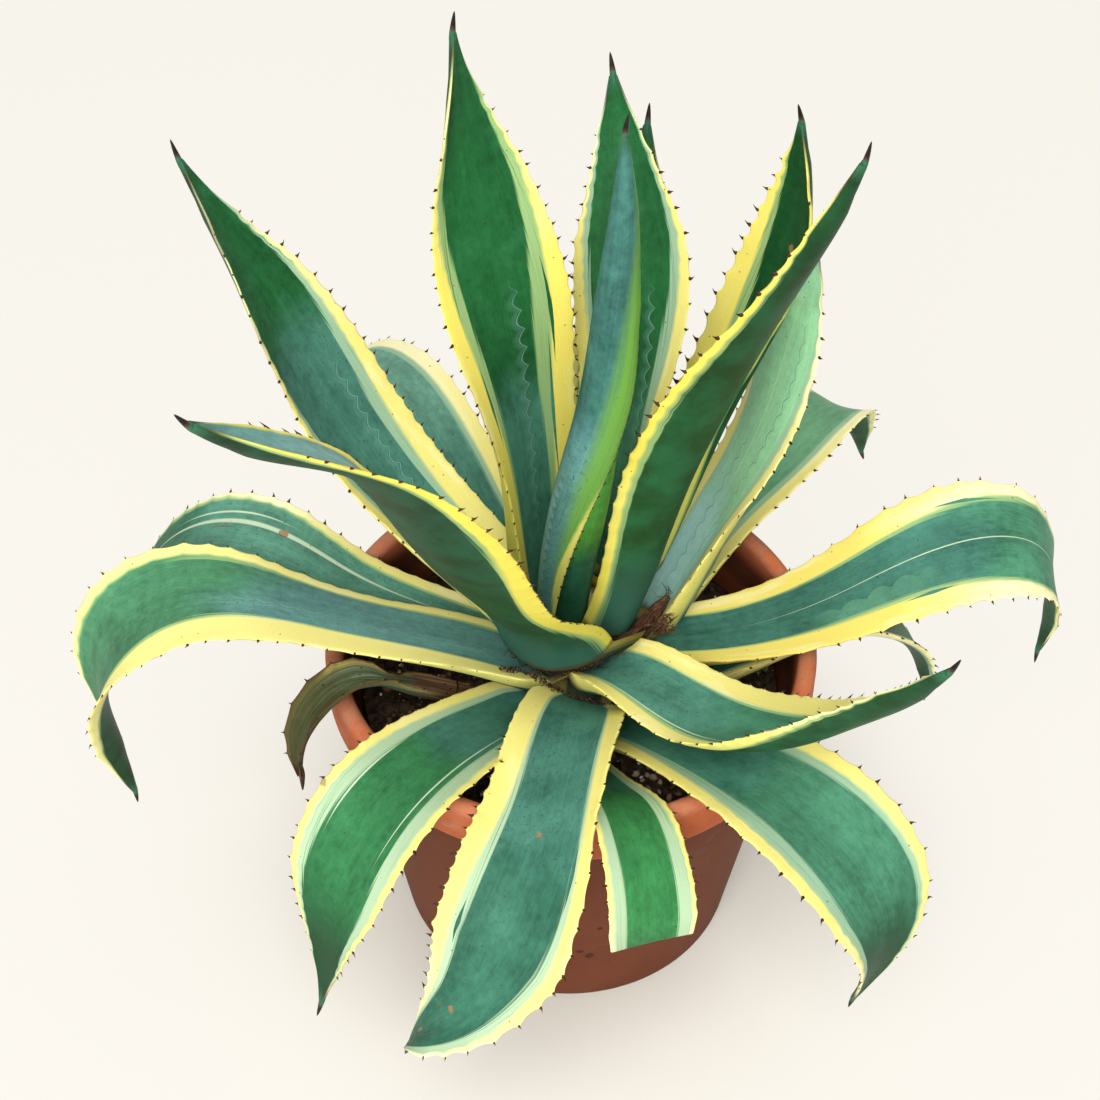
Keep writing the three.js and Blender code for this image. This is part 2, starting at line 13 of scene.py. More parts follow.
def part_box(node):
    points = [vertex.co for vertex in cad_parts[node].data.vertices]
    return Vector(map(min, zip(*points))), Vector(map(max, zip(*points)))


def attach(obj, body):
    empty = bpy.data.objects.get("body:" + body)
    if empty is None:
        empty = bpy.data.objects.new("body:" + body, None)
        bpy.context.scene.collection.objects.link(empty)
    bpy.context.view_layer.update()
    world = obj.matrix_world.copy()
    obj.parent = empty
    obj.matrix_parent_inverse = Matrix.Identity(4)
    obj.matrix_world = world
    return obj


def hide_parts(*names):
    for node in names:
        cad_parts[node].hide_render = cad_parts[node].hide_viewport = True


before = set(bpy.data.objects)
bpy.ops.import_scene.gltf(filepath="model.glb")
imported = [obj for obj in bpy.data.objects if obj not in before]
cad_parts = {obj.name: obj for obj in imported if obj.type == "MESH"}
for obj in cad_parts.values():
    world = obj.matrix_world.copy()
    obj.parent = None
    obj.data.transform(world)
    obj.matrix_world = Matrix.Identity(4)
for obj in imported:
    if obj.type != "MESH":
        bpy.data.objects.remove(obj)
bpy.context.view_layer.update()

MM = 0.001
ROOT = "root"

# ------------------------------------------------------------------ driving dimensions

STEM_X, STEM_Y = 15, 5  # the rosette's axis stands a little off the pot's
STEM_RADIUS = 34
POT_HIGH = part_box("pot")[1]
RIM_RADIUS = POT_HIGH.x / MM
POT_HEIGHT = POT_HIGH.z / MM

STATIONS = 240  # cross-sections along a leaf
ACROSS = 22  # cells across each face of a leaf
SIDES = (-1, 1)  # a leaf's right and left margins
SPINE_LENGTH = 16
SPINE_RADIUS = 2
TIP_FLARE = 0.34  # how fast a blade widens back from its spine
MARGIN_THICKNESS = 1.6
TIP_THICKNESS = 5
BASE_SWELLING = 17
TOOTH_SLOT, SPINE_SLOT = 1, 2  # places in a leaf's list of materials, after its skin


@dataclass
class Leaf:
    """A leaf's form, as in the solid model: values run evenly from root to tip."""

    name: str
    heading: float
    height: float  # of the root above the ground
    length: float
    width: float
    seat: float  # how far the root sits from the rosette's axis
    seat_turn: float  # and how far aside of the heading
    pitch: list  # how steeply it climbs
    turn: list  # how far it bends left of the heading
    roll: list
    gutter: list  # how far each half curls up, across the leaf
    furled: bool = False
    cut_at: float = 1  # share of the full length that is left
    narrowest: float = 0.62  # width of the root, as a share of the widest place
    widest_at: float = 0.5
    thin: bool = False
    bare: bool = False  # without teeth and spine

    @property
    def has_spine(self):
        return self.cut_at == 1 and not self.bare


LEAVES = [
    Leaf("leaf_01",  # the furled spear
         heading=146, height=294, length=444, width=96, seat=37, seat_turn=29,
         pitch=[90, 98, 102, 96, 97, 94], turn=[0, 1, 2, 3], roll=[0, 2, 3, 2],
         gutter=[109, 137, 160, 170, 170], furled=True),
    Leaf("leaf_02",  # upright, right of the spear, its back to the front
         heading=4, height=287, length=434, width=96, seat=10, seat_turn=21,
         pitch=[64, 74, 69, 67, 67, 80], turn=[12, -1, -5, -12], roll=[-21, -37, -28, -21],
         gutter=[72, 58, 57, 35, 85], narrowest=0.68),
    Leaf("leaf_03",  # wraps round the heart and leans left
         heading=192, height=288, length=524, width=104, seat=46, seat_turn=15,
         pitch=[68, 53, 56, 63, 37, 57], turn=[37, 59, 31, 38], roll=[-11, -16, 11, 0],
         gutter=[63, 17, 42, 17, 76], narrowest=0.98, widest_at=0.37),
    Leaf("leaf_04",  # behind the spear
         heading=75, height=298, length=383, width=90, seat=26, seat_turn=-4,
         pitch=[75, 67, 62, 55, 54, 59], turn=[0, 2, 25, 32], roll=[-36, -41, -24, -27],
         gutter=[52, 36, 19, 25, 47]),
    Leaf("leaf_05",  # the tallest, at the back
         heading=121, height=275, length=471, width=100, seat=38, seat_turn=40,
         pitch=[83, 81, 78, 71, 79, 94], turn=[0, 7, 13, 34], roll=[20, 21, -10, 15],
         gutter=[49, 36, 24, 22, 28]),
    Leaf("leaf_06",  # back, its tip just showing between two others
         heading=85, height=255, length=372, width=74, seat=44, seat_turn=0,
         pitch=[49, 50, 52, 54, 55, 57], turn=[0, -3, -4, -3], roll=[0, -1, -1, -1],
         gutter=[47, 36, 30, 33, 43]),
    Leaf("leaf_07",  # upright, right back
         heading=42, height=305, length=375, width=77, seat=57, seat_turn=16,
         pitch=[58, 57, 59, 68, 89, 105], turn=[0, -6, -7, -12], roll=[2, -22, -6, -7],
         gutter=[52, 49, 48, 33, 37]),
    Leaf("leaf_08",  # upright, left back
         heading=158, height=262, length=454, width=96, seat=35, seat_turn=7,
         pitch=[39, 41, 55, 62, 56, 69], turn=[0, 3, 1, -2], roll=[4, -2, -1, 26],
         gutter=[51, 36, 22, 29, 32]),
    Leaf("leaf_09",  # pale, right, outside the upright pair
         heading=36, height=264, length=342, width=88, seat=47, seat_turn=-9,
         pitch=[50, 58, 64, 73, 79, 81], turn=[2, -9, 6, 24], roll=[-21, -22, -14, 0],
         gutter=[41, 24, 3, 3, 18], widest_at=0.35),
    Leaf("leaf_10",  # forward right, its tip turned up
         heading=317, height=257, length=411, width=85, seat=24, seat_turn=-52,
         pitch=[45, 10, 29, 51, 54, 69], turn=[-3, -2, -4, 3], roll=[1, -6, -15, -17],
         gutter=[49, 10, 30, 37, 88], narrowest=0.58, widest_at=0.43),
    Leaf("leaf_11",  # long, arching to the right
         heading=0, height=269, length=453, width=95, seat=42, seat_turn=-6,
         pitch=[3, 17, 23, -16, -79, -95], turn=[0, 14, 20, 23], roll=[-8, -1, 27, 13],
         gutter=[19, 3, 3, 6, 20]),
    Leaf("leaf_12",  # arching over the pot's front
         heading=261, height=252, length=391, width=101, seat=51, seat_turn=1,
         pitch=[37, 12, -18, -48, -50, -78], turn=[0, -2, -41, -151], roll=[-10, 26, -22, -31],
         gutter=[24, 32, 40, 20, 16]),
    Leaf("leaf_13",  # long, arching to the left
         heading=187, height=255, length=530, width=100, seat=40, seat_turn=27,
         pitch=[31, 13, 12, -45, -93, -95], turn=[-2, -9, -4, -11], roll=[13, 18, -18, 4],
         gutter=[14, 2, 12, 43, 26], narrowest=0.63),
    Leaf("leaf_14",  # left, under the long one
         heading=171, height=246, length=413, width=89, seat=60, seat_turn=5,
         pitch=[12, 16, 25, -25, -60, -84], turn=[0, -5, -9, -8], roll=[-2, 8, -3, 2],
         gutter=[34, 12, 19, 19, 27]),
    Leaf("leaf_15",  # back, arching down behind
         heading=125, height=246, length=406, width=82, seat=59, seat_turn=20,
         pitch=[42, 30, 18, -14, -50, -81], turn=[0, 0, -2, 1], roll=[0, 0, -4, -2],
         gutter=[42, 31, 24, 23, 27]),
    Leaf("leaf_16",  # right back, arching
         heading=47, height=239, length=348, width=84, seat=47, seat_turn=-3,
         pitch=[36, 34, 17, 11, -58, -72], turn=[0, -2, 1, -6], roll=[4, -11, -11, -17],
         gutter=[55, 30, 20, 20, 42]),
    Leaf("leaf_17",  # front left, over the rim
         heading=233, height=237, length=376, width=90, seat=53, seat_turn=-8,
         pitch=[21, 22, 2, -52, -83, -72], turn=[0, 0, -4, -16], roll=[-1, 6, 2, 11],
         gutter=[25, 17, 18, 13, 15]),
    Leaf("leaf_18",  # front right, over the rim
         heading=311, height=231, length=410, width=100, seat=55, seat_turn=-21,
         pitch=[36, 21, 2, -43, -96, -104], turn=[0, 6, 12, 11], roll=[-2, -5, 10, 9],
         gutter=[23, 15, 12, 17, 22]),
    Leaf("leaf_19",  # right, under the long one
         heading=13, height=228, length=303, width=63, seat=51, seat_turn=-37,
         pitch=[27, 24, 15, -31, -66, -87], turn=[0, 0, 2, 4], roll=[-4, -8, -10, -9],
         gutter=[37, 28, 27, 23, 25]),
    Leaf("leaf_cut",  # front, cut off square
         heading=282, height=230, length=221, width=66, seat=85, seat_turn=-14,
         pitch=[28, 31, 32, -3, -50, -101], turn=[0, 7, 4, -5], roll=[-19, -20, -23, -9],
         gutter=[26, 16, 16, 3, 3], cut_at=0.62, narrowest=0.36, widest_at=0.42),
    Leaf("leaf_withered",  # small, shrivelled, over the rim at the left
         heading=200, height=226, length=233, width=43, seat=82, seat_turn=3,
         pitch=[29, 34, 35, -28, -77, -94], turn=[0, 3, 16, 30], roll=[14, 20, 11, 4],
         gutter=[63, 50, 53, 58, 66], thin=True),
    Leaf("dry_husk",  # papery scrap of a dead leaf at the foot of the rosette
         heading=42, height=260, length=60, width=15, seat=27, seat_turn=-86,
         pitch=[25, 32, 30, 22], turn=[0, 4, 8], roll=[-20, -10, 10],
         gutter=[70, 60, 75], thin=True, bare=True),
]

# ------------------------------------------------------------------ a leaf's colours


def darker(colour, share):
    return tuple(part * share for part in colour)


DEEP = (0.018, 0.130, 0.038)
FOREST = (0.032, 0.175, 0.066)
JADE = (0.046, 0.190, 0.108)
SEA = (0.058, 0.200, 0.150)
MIST = (0.120, 0.305, 0.240)
FROST = (0.380, 0.620, 0.640)
APPLE = (0.044, 0.235, 0.074)
LIME = (0.200, 0.470, 0.055)
PALE_GREEN = (0.340, 0.520, 0.210)
GREY_GREEN = (0.340, 0.520, 0.340)
PALE_MINT = (0.430, 0.590, 0.380)
YELLOW = (0.830, 0.730, 0.190)
GOLD = (0.850, 0.670, 0.070)
# painted shade for the yellow margin's underside
UNDER_YELLOW_SHADE = (0.560, 0.560, 0.120)
PRINT = (0.230, 0.440, 0.380)
CREAM = (0.950, 0.910, 0.540)
WHITE_LINE = (0.640, 0.760, 0.540)
# painted shade for the leaves' undersides, plain and clouded
UNDERSIDE_SHADE = (0.014, 0.046, 0.011)
UNDERSIDE_SHADE_CLOUD = darker(FOREST, 0.62)
DARK_END = darker(DEEP, 0.36)
HORN = (0.011, 0.007, 0.006)
HORN_ROOT = (0.062, 0.026, 0.016)
TIP_GREEN = (0.030, 0.120, 0.060)
TAN = (0.300, 0.170, 0.090)
SPECK = (0.030, 0.025, 0.015)
ROOT_BROWN_AND_SHADE = (0.060, 0.040, 0.018)


@dataclass
class Look:
    """A leaf's skin. Lists run evenly from root to tip, and their numbers are shares of the half width."""

    seed: int
    root_tone: tuple
    tone: tuple
    turns_at: float  # share of the length where the root's tone gives way to the other
    yellow: tuple  # width of the yellow margin, left and right
    pale: tuple = ([0.06, 0.05, 0.04], [0.06, 0.05, 0.04])  # and of the pale band inside it
    pale_tone: tuple = PALE_GREEN
    yellow_tone: tuple = YELLOW
    cream: float = 0.3  # how far the yellow pales towards the tip
    bloom: float = 0.3  # how waxy the centre is
    lines: list = field(default_factory=list)  # pale lines: across, from, to, half width
    slivers: list = field(default_factory=list)  # dark slivers in the margin: across, from, to
    prints: list = field(default_factory=list)  # of neighbours' teeth: across at root, at tip, from, to
    veils: list = field(default_factory=list)  # waxier skin beside a scalloped line: side, then as prints
    veil_tone: tuple = FROST
    scratches: list = field(default_factory=list)  # broken brown lines, given as the pale ones are
    scars: list = field(default_factory=list)  # brown: across, share of the length, size in half widths
    tooth_gap: float = 15
    tooth_height: float = 3
    bump: float = 2  # how far the margin swells to a tooth
    underside_shade: float = 0.92  # how far the underside is painted darker and plainer, as painted shade
    underside_shade_light: float = 1  # how light that painted shade on the underside is
    soft: float = 1  # how softly the pale band runs into the centre
    drift: float = 0.75  # how strongly the centre's tone varies
    dark_from: float = 0.95  # share of the length past which the centre darkens


LOOKS = {
    "leaf_01": Look(
        1, (0.125, 0.31, 0.32), (0.055, 0.185, 0.155), turns_at=0.45,
        yellow=([0.02, 0.18, 0.1, 0, 0, 0, 0, 0, 0], [0.2, 0.1]),
        pale=([0, 0.02, 0.2, 0.38, 0.38, 0.34, 0.26, 0.14, 0], [0.1, 0.1]), pale_tone=LIME, soft=5,
        drift=0.8, cream=0, bloom=0.6, veils=[(-1, 0.52, 0.05, 0.02, 0.4)], tooth_gap=11,
        tooth_height=2.6, bump=1, underside_shade=0),
    "leaf_02": Look(
        2, JADE, FOREST, turns_at=0.22, yellow=([0.3, 0.25, 0.15, 0.1, 0], [0.14, 0.14, 0.12, 0.11, 0]),
        yellow_tone=GOLD, cream=0.1, bloom=0.25, lines=[(-0.7, 0.1, 0.75, 0.016)], tooth_gap=17,
        tooth_height=4, bump=2.6, underside_shade=0.95),
    "leaf_03": Look(
        3, JADE, (0.16, 0.36, 0.33), turns_at=0.4,
        yellow=([0.08, 0.24, 0.19, 0.11, 0], [0.16, 0.26, 0.2, 0.12, 0.05]), yellow_tone=GOLD, cream=0.1,
        tooth_gap=16, tooth_height=4, bump=1.3, underside_shade=0.95, underside_shade_light=0.68),
    "leaf_04": Look(
        4, JADE, DEEP, turns_at=0.4, yellow=([0.3, 0.25, 0.2, 0.1, 0], [0.42, 0.36, 0.26, 0.1, 0]),
        pale=([0.1, 0.14, 0.15, 0.08, 0], [0.12, 0.16, 0.2, 0.1, 0.03]), pale_tone=GREY_GREEN, cream=0.35,
        bloom=0.15, prints=[(-0.5, -0.3, 0.1, 0.6)], tooth_gap=13),
    "leaf_05": Look(
        5, (0.078, 0.27, 0.19), DEEP, turns_at=0.4,
        yellow=([0.6, 0.48, 0.32, 0.12, 0], [0.5, 0.42, 0.32, 0.1, 0]),
        pale=([0.02, 0.06, 0.16, 0.14, 0], [0.06, 0.14, 0.26, 0.18, 0]), yellow_tone=(0.95, 0.79, 0.12),
        cream=0.4, bloom=0.15, slivers=[(-0.7, 0.42, 0.62), (-0.62, 0.2, 0.5), (0.66, 0.35, 0.5)],
        prints=[(-0.1, -0.4, 0.15, 0.6)], tooth_gap=14),
    "leaf_06": Look(
        6, FOREST, DEEP, turns_at=0.4, yellow=([0.3, 0.25, 0.15, 0.05, 0], [0.3, 0.25, 0.15, 0.05, 0]),
        bloom=0.2),
    "leaf_07": Look(
        7, FOREST, (0.01, 0.085, 0.022), turns_at=0.3,
        yellow=([0.5, 0.5, 0.42, 0.24, 0], [0.3, 0.22, 0.14, 0.1, 0]),
        pale=([0.1, 0.14, 0.18, 0.12, 0], [0.1, 0.08, 0.04, 0, 0]), yellow_tone=(0.93, 0.8, 0.17),
        cream=0, bloom=0.05, tooth_gap=17, tooth_height=4, bump=3.6),
    "leaf_08": Look(
        8, SEA, DEEP, turns_at=0.66, yellow=([0.35, 0.3, 0.14, 0.03, 0], [0.42, 0.38, 0.27, 0.1, 0]),
        pale=([0.1, 0.08, 0.05, 0, 0], [0.1, 0.14, 0.16, 0.1, 0]), pale_tone=GREY_GREEN, cream=0.5,
        prints=[(-0.3, -0.5, 0.2, 0.6)], bump=2.2),
    # a pale leaf, its tones raised further as painted light where the leaves in front shade it
    "leaf_09": Look(
        9, (0.43, 0.78, 0.68), (0.35, 0.72, 0.41), turns_at=0.28,
        yellow=([0.4, 0.3, 0.2, 0.1, 0], [0.36, 0.28, 0.2, 0.1, 0]),
        pale=([0.05, 0.05, 0.05, 0.05, 0], [0.1, 0.14, 0.16, 0.1, 0]), pale_tone=GREY_GREEN, cream=0.6,
        bloom=0, drift=0.4, lines=[(0.1, 0.1, 0.9, 0.009)], veils=[(1, -0.2, 0.1, 0.02, 0.42)],
        prints=[(-0.25, -0.5, 0.1, 0.8), (0.1, 0.45, 0.05, 0.5)], tooth_gap=14),
    "leaf_10": Look(
        10, (0.085, 0.27, 0.2), (0.066, 0.25, 0.15), turns_at=0.3,
        yellow=([0.36, 0.4, 0.4, 0.3, 0.1], [0.34, 0.3, 0.2, 0.06, 0]), cream=0.55, bloom=0.55,
        lines=[(-0.62, 0.02, 0.5, 0.016), (0.6, 0.1, 0.5, 0.016)], tooth_gap=14, tooth_height=2.8),
    "leaf_11": Look(
        11, (0.06, 0.205, 0.152), (0.085, 0.3, 0.175), turns_at=0.54,
        yellow=([0.34, 0.42, 0.34, 0.12, 0.05], [0.42, 0.42, 0.34, 0.16, 0.1]),
        pale=([0.03, 0.04, 0.08, 0.06, 0], [0.03, 0.04, 0.06, 0.06, 0]), yellow_tone=(0.85, 0.69, 0.1),
        cream=0.68, bloom=0.15, lines=[(0.04, 0.1, 0.97, 0.008)],
        slivers=[(0.7, 0.5, 0.62), (-0.66, 0.4, 0.5)], veils=[(-1, -0.3, -0.3, 0.22, 0.5)],
        veil_tone=(0.17, 0.42, 0.25), tooth_gap=20, tooth_height=2.6, bump=2.8),
    "leaf_12": Look(
        12, SEA, (0.04, 0.158, 0.102), turns_at=0.45,
        yellow=([0.34, 0.3, 0.25, 0.16, 0.05], [0.42, 0.36, 0.26, 0.2, 0.2]),
        pale=([0.05, 0.08, 0.13, 0.2, 0.2], [0.05, 0.08, 0.14, 0.16, 0.1]), pale_tone=PALE_MINT,
        cream=0.45, bloom=0.35, slivers=[(0.66, 0.4, 0.52), (-0.68, 0.55, 0.65)],
        scars=[(-0.1, 0.86, 0.1), (0.35, 0.9, 0.07), (0.1, 0.93, 0.06)],
        scratches=[(-0.05, 0.74, 0.92, 0.016), (0.22, 0.8, 0.96, 0.02), (-0.32, 0.7, 0.8, 0.012),
        (0.5, 0.86, 0.97, 0.014)], tooth_gap=13, bump=2.8),
    "leaf_13": Look(
        13, (0.135, 0.32, 0.312), (0.075, 0.25, 0.125), turns_at=0.4,
        yellow=([0.3, 0.54, 0.56, 0.26, 0], [0.3, 0.22, 0.18, 0.12, 0.05]),
        pale=([0.04, 0.05, 0.08, 0.06, 0], [0.04, 0.04, 0.05, 0.04, 0]), yellow_tone=(0.94, 0.85, 0.26),
        cream=0.4, bloom=0.4, lines=[(0.42, 0.3, 0.5, 0.016)], prints=[(0, -0.2, 0.15, 0.5)],
        tooth_gap=17, tooth_height=2.6, bump=2.4),
    "leaf_14": Look(
        14, (0.12, 0.33, 0.23), JADE, turns_at=0.6,
        yellow=([0.12, 0.12, 0.1, 0.08, 0], [0.26, 0.22, 0.12, 0.06, 0]), cream=0.8, bloom=0.35,
        lines=[(-0.42, 0.1, 0.85, 0.042), (-0.62, 0.42, 0.72, 0.02)],
        scratches=[(-0.3, 0.5, 0.62, 0.02), (0.1, 0.45, 0.6, 0.014)], scars=[(-0.42, 0.46, 0.09)]),
    "leaf_15": Look(
        15, (0.075, 0.24, 0.18), (0.15, 0.35, 0.26), turns_at=0.4,
        yellow=([0.16, 0.14, 0.12, 0.1, 0], [0.32, 0.3, 0.28, 0.26, 0.1]),
        pale=([0.05, 0.05, 0.05], [0.08, 0.1, 0.1, 0.1]), pale_tone=GREY_GREEN, cream=0.8, bloom=0.35,
        tooth_gap=16),
    "leaf_16": Look(
        16, (0.15, 0.39, 0.22), (0.19, 0.45, 0.25), turns_at=0.5,
        yellow=([0.12, 0.1, 0.08, 0.06, 0], [0.4, 0.36, 0.3, 0.22, 0.05]),
        pale=([0.05, 0.05, 0.05], [0.12, 0.14, 0.12, 0.08]), pale_tone=GREY_GREEN, cream=0.6, bloom=0.15,
        drift=0.45),
    "leaf_17": Look(
        17, SEA, (0.042, 0.21, 0.078), turns_at=0.3,
        yellow=([0.22, 0.16, 0.12, 0.1, 0], [0.28, 0.2, 0.14, 0.1, 0]),
        pale=([0.16, 0.24, 0.26, 0.14, 0], [0.14, 0.2, 0.22, 0.1, 0]), pale_tone=PALE_MINT, cream=0.35,
        bloom=0.1, lines=[(0.5, 0.12, 0.6, 0.016), (-0.6, 0.3, 0.6, 0.016)], tooth_gap=14, dark_from=0.6),
    "leaf_18": Look(
        18, (0.07, 0.26, 0.18), (0.078, 0.27, 0.16), turns_at=0.36,
        yellow=([0.26, 0.24, 0.2, 0.14, 0.05], [0.3, 0.25, 0.2, 0.14, 0.05]),
        pale=([0.05, 0.1, 0.12, 0.06, 0], [0.1, 0.16, 0.2, 0.14, 0]), pale_tone=GREY_GREEN, cream=0.4,
        slivers=[(-0.62, 0.55, 0.7)], tooth_gap=16, dark_from=0.6),
    "leaf_19": Look(
        19, JADE, FOREST, turns_at=0.4, yellow=([0.24, 0.22, 0.16, 0.1, 0], [0.34, 0.32, 0.26, 0.14, 0]),
        pale=([0.05, 0.05, 0.05], [0.1, 0.12, 0.1]), pale_tone=GREY_GREEN, cream=0.8, tooth_gap=14),
    "leaf_cut": Look(
        20, JADE, APPLE, turns_at=0.35, yellow=([0.1, 0.12, 0.12], [0.12, 0.12, 0.12]),
        pale=([0.28, 0.28, 0.28], [0.26, 0.26, 0.26]), pale_tone=PALE_MINT, bloom=0.1, tooth_gap=13,
        tooth_height=2.6, bump=1.2),
}
WITHERED_LOOK = Look(
    21, JADE, JADE, turns_at=0.5, yellow=([0.1, 0.1], [0.1, 0.1]), tooth_gap=16, tooth_height=2.6,
    bump=1.2)
ROLL_LOOK = Look(
    31, (0.018, 0.1, 0.052), (0.066, 0.25, 0.04), turns_at=0.2, yellow=([0.04, 0.04], [0.04, 0.04]),
    pale=([0.04, 0.04], [0.04, 0.04]), pale_tone=LIME, bloom=0.1, underside_shade=0)

# ------------------------------------------------------------------ shaders


class Value:
    """What a node gives: a number, colour or vector that varies over the surface."""

    def __init__(self, shader, socket):
        self.shader = shader
        self.socket = socket

    def __add__(self, other):
        return self.shader.math("ADD", self, other)

    def __sub__(self, other):
        return self.shader.math("SUBTRACT", self, other)

    def __rsub__(self, other):
        return self.shader.math("SUBTRACT", other, self)

    def __mul__(self, other):
        return self.shader.math("MULTIPLY", self, other)

    def __abs__(self):
        return self.shader.math("ABSOLUTE", self)


class Shader:
    """One material's nodes, and the colour that has been painted so far."""

    def __init__(self, name, specular=0.18):
        self.material = bpy.data.materials.new(name)
        self.material.use_nodes = True
        self.tree = self.material.node_tree
        self.surface = self.tree.nodes["Principled BSDF"]
        self.surface.inputs["Specular IOR Level"].default_value = specular
        self.colour = None

    def node(self, kind, inputs, output=0, **settings):
        """A new node with its inputs fed, and what it gives."""
        node = self.tree.nodes.new(kind)
        for key, value in settings.items():
            setattr(node, key, value)
        for key, value in inputs.items():
            self.feed(node.inputs[key], value)
        return Value(self, node.outputs[output])

    def feed(self, socket, value):
        if isinstance(value, Value):
            self.tree.links.new(value.socket, socket)
        else:
            socket.default_value = (*value, 1) if socket.type == "RGBA" else value

    def math(self, operation, *terms):
        return self.node("ShaderNodeMath", dict(enumerate(terms)), operation=operation)

    def distance(self, *sides):
        """The length of the vector with these sides."""
        total = sides[0] * sides[0]
        for side in sides[1:]:
            total = total + side * side
        return self.math("SQRT", total)

    def rise(self, value, low, high):
        """Smoothly 0 below low and 1 above high, or the other way round where low is above high."""
        ends = (high, low, 1, 0) if low > high else (low, high, 0, 1)
        inputs = {"Value": value, **dict(zip(("From Min", "From Max", "To Min", "To Max"), ends))}
        return self.node("ShaderNodeMapRange", inputs, "Result", interpolation_type="SMOOTHSTEP")

    def between(self, value, start, end, soft):
        return self.rise(value, start, start + soft) * self.rise(value, end, end - soft)

    def blend(self, share, a, b):
        return self.node("ShaderNodeMix", {"Factor": share, 6: a, 7: b}, 2, data_type="RGBA")

    def paint(self, share, tone):
        """Lays a tone over the colour so far."""
        self.colour = self.blend(share, self.colour, tone)

    def shaded(self, colour, factor):
        """The colour made brighter or darker by a factor that varies over the surface."""
        grey = self.node("ShaderNodeCombineColor", {0: factor, 1: factor, 2: factor})
        inputs = {"Factor": 1, 6: colour, 7: grey}
        return self.node("ShaderNodeMix", inputs, 2, data_type="RGBA", blend_type="MULTIPLY")

    def shade(self, factor):
        self.colour = self.shaded(self.colour, factor)

    def attribute(self, name):
        return self.node("ShaderNodeAttribute", {}, "Fac", attribute_name=name)

    def place(self):
        return self.node("ShaderNodeTexCoord", {}, "Object")

    def split(self, vector):
        parts = self.node("ShaderNodeSeparateXYZ", {0: vector}).socket.node
        return [Value(self, output) for output in parts.outputs]

    def vector(self, x, y, z):
        return self.node("ShaderNodeCombineXYZ", {0: x, 1: y, 2: z})

    def stretch(self, vector, x, y, z):
        return self.node("ShaderNodeVectorMath", {0: vector, 1: (x, y, z)}, operation="MULTIPLY")

    def noise(self, vector, scale=1, detail=3, roughness=0.5):
        inputs = {"Vector": vector, "Scale": scale, "Detail": detail, "Roughness": roughness}
        return self.node("ShaderNodeTexNoise", inputs, "Fac")

    def spots(self, vector, scale, size, core, least, most, ragged=0):
        """Scattered round spots that fade from core to size, at the points whose draw is above least."""
        away = self.node("ShaderNodeTexVoronoi", {"Vector": vector, "Scale": scale}, "Distance")
        drawn = Value(self, away.socket.node.outputs["Color"])
        draw = self.node("ShaderNodeSeparateColor", {0: drawn})
        return self.rise(away + ragged, size, core) * self.rise(draw, least, most)

    def finish(self, roughness, height=None, depth=0):
        """The finished material, with relief of a depth in metres where a height is given."""
        self.feed(self.surface.inputs["Base Color"], self.colour)
        self.feed(self.surface.inputs["Roughness"], roughness)
        if height is not None:
            relief = self.node("ShaderNodeBump", {"Distance": depth, "Height": height})
            self.feed(self.surface.inputs["Normal"], relief)
        return self.material


class LeafShader(Shader):
    """A shader that knows its place on a leaf: across, along, and how far from margin and tip."""

    def __init__(self, name, seed):
        super().__init__(name, specular=0.07)
        self.seed = seed * 7.3
        self.across = self.attribute("across")
        self.along = self.attribute("along")  # metres from the root
        self.share = self.attribute("share")  # 0 at the root and 1 at the tip
        self.edge = self.attribute("edge")  # metres from the margin
        self.tip = self.attribute("tip")  # metres from the tip
        self.under = self.attribute("under")  # 1 on the underside
        self.upper = 1 - self.under
        self.skin = self.vector(self.attribute("arc"), self.along, self.seed)  # metres over the surface

    def streaks(self, across, along, offset, detail=2):
        """Noise drawn out along the leaf, about 0, with so many waves over its half width and per metre."""
        place = self.vector(self.across * across, self.along * along, self.seed + offset)
        return self.noise(place, 1, detail) - 0.5

    def aside(self, place, wander, along, offset, detail=2):
        """How far from a line that runs lengthwise at a place across and wanders a little."""
        return abs(self.across - (self.streaks(0.5, along, offset, detail) * wander + place))


def bands(sh, look):
    """Masks of the yellow margin and of the pale band inside it, both with streaky inner edges."""
    outward = abs(sh.across)
    wander = sh.streaks(1.2, 9, 0) * 0.10 + sh.streaks(26, 5, 3) * 0.09
    yellow = sh.rise(outward + wander - sh.attribute("yellow_from"), -0.034, 0.050)
    wander = sh.streaks(1.3, 8, 11) * 0.12 + sh.streaks(34, 6, 17) * 0.14
    pale = sh.rise(outward + wander - sh.attribute("pale_from"), -0.020 * look.soft, 0.030 * look.soft)
    for place, start, end in look.slivers:  # the green reaches out through both in thin wedges
        narrowing = 1 - abs(sh.share - (start + end) / 2) * (2 / (end - start))
        aside = abs(sh.across - (sh.streaks(0.4, 5, 53) * 0.06 + place))
        clear = 1 - sh.rise(narrowing * 0.035 - aside, 0, 0.006)
        yellow = yellow * clear
        pale = pale * clear
    return yellow, pale


def scallops(sh, look, at_root, at_tip):
    """How far left of a scalloped line, which runs between two places across the leaf."""
    lobe = abs(sh.math("SINE", sh.along * (math.pi / (look.tooth_gap * MM))))
    route = sh.share * (at_tip - at_root) + at_root + sh.streaks(0.1, 12, 59) * 0.2
    return sh.across - (route + lobe * 0.11)


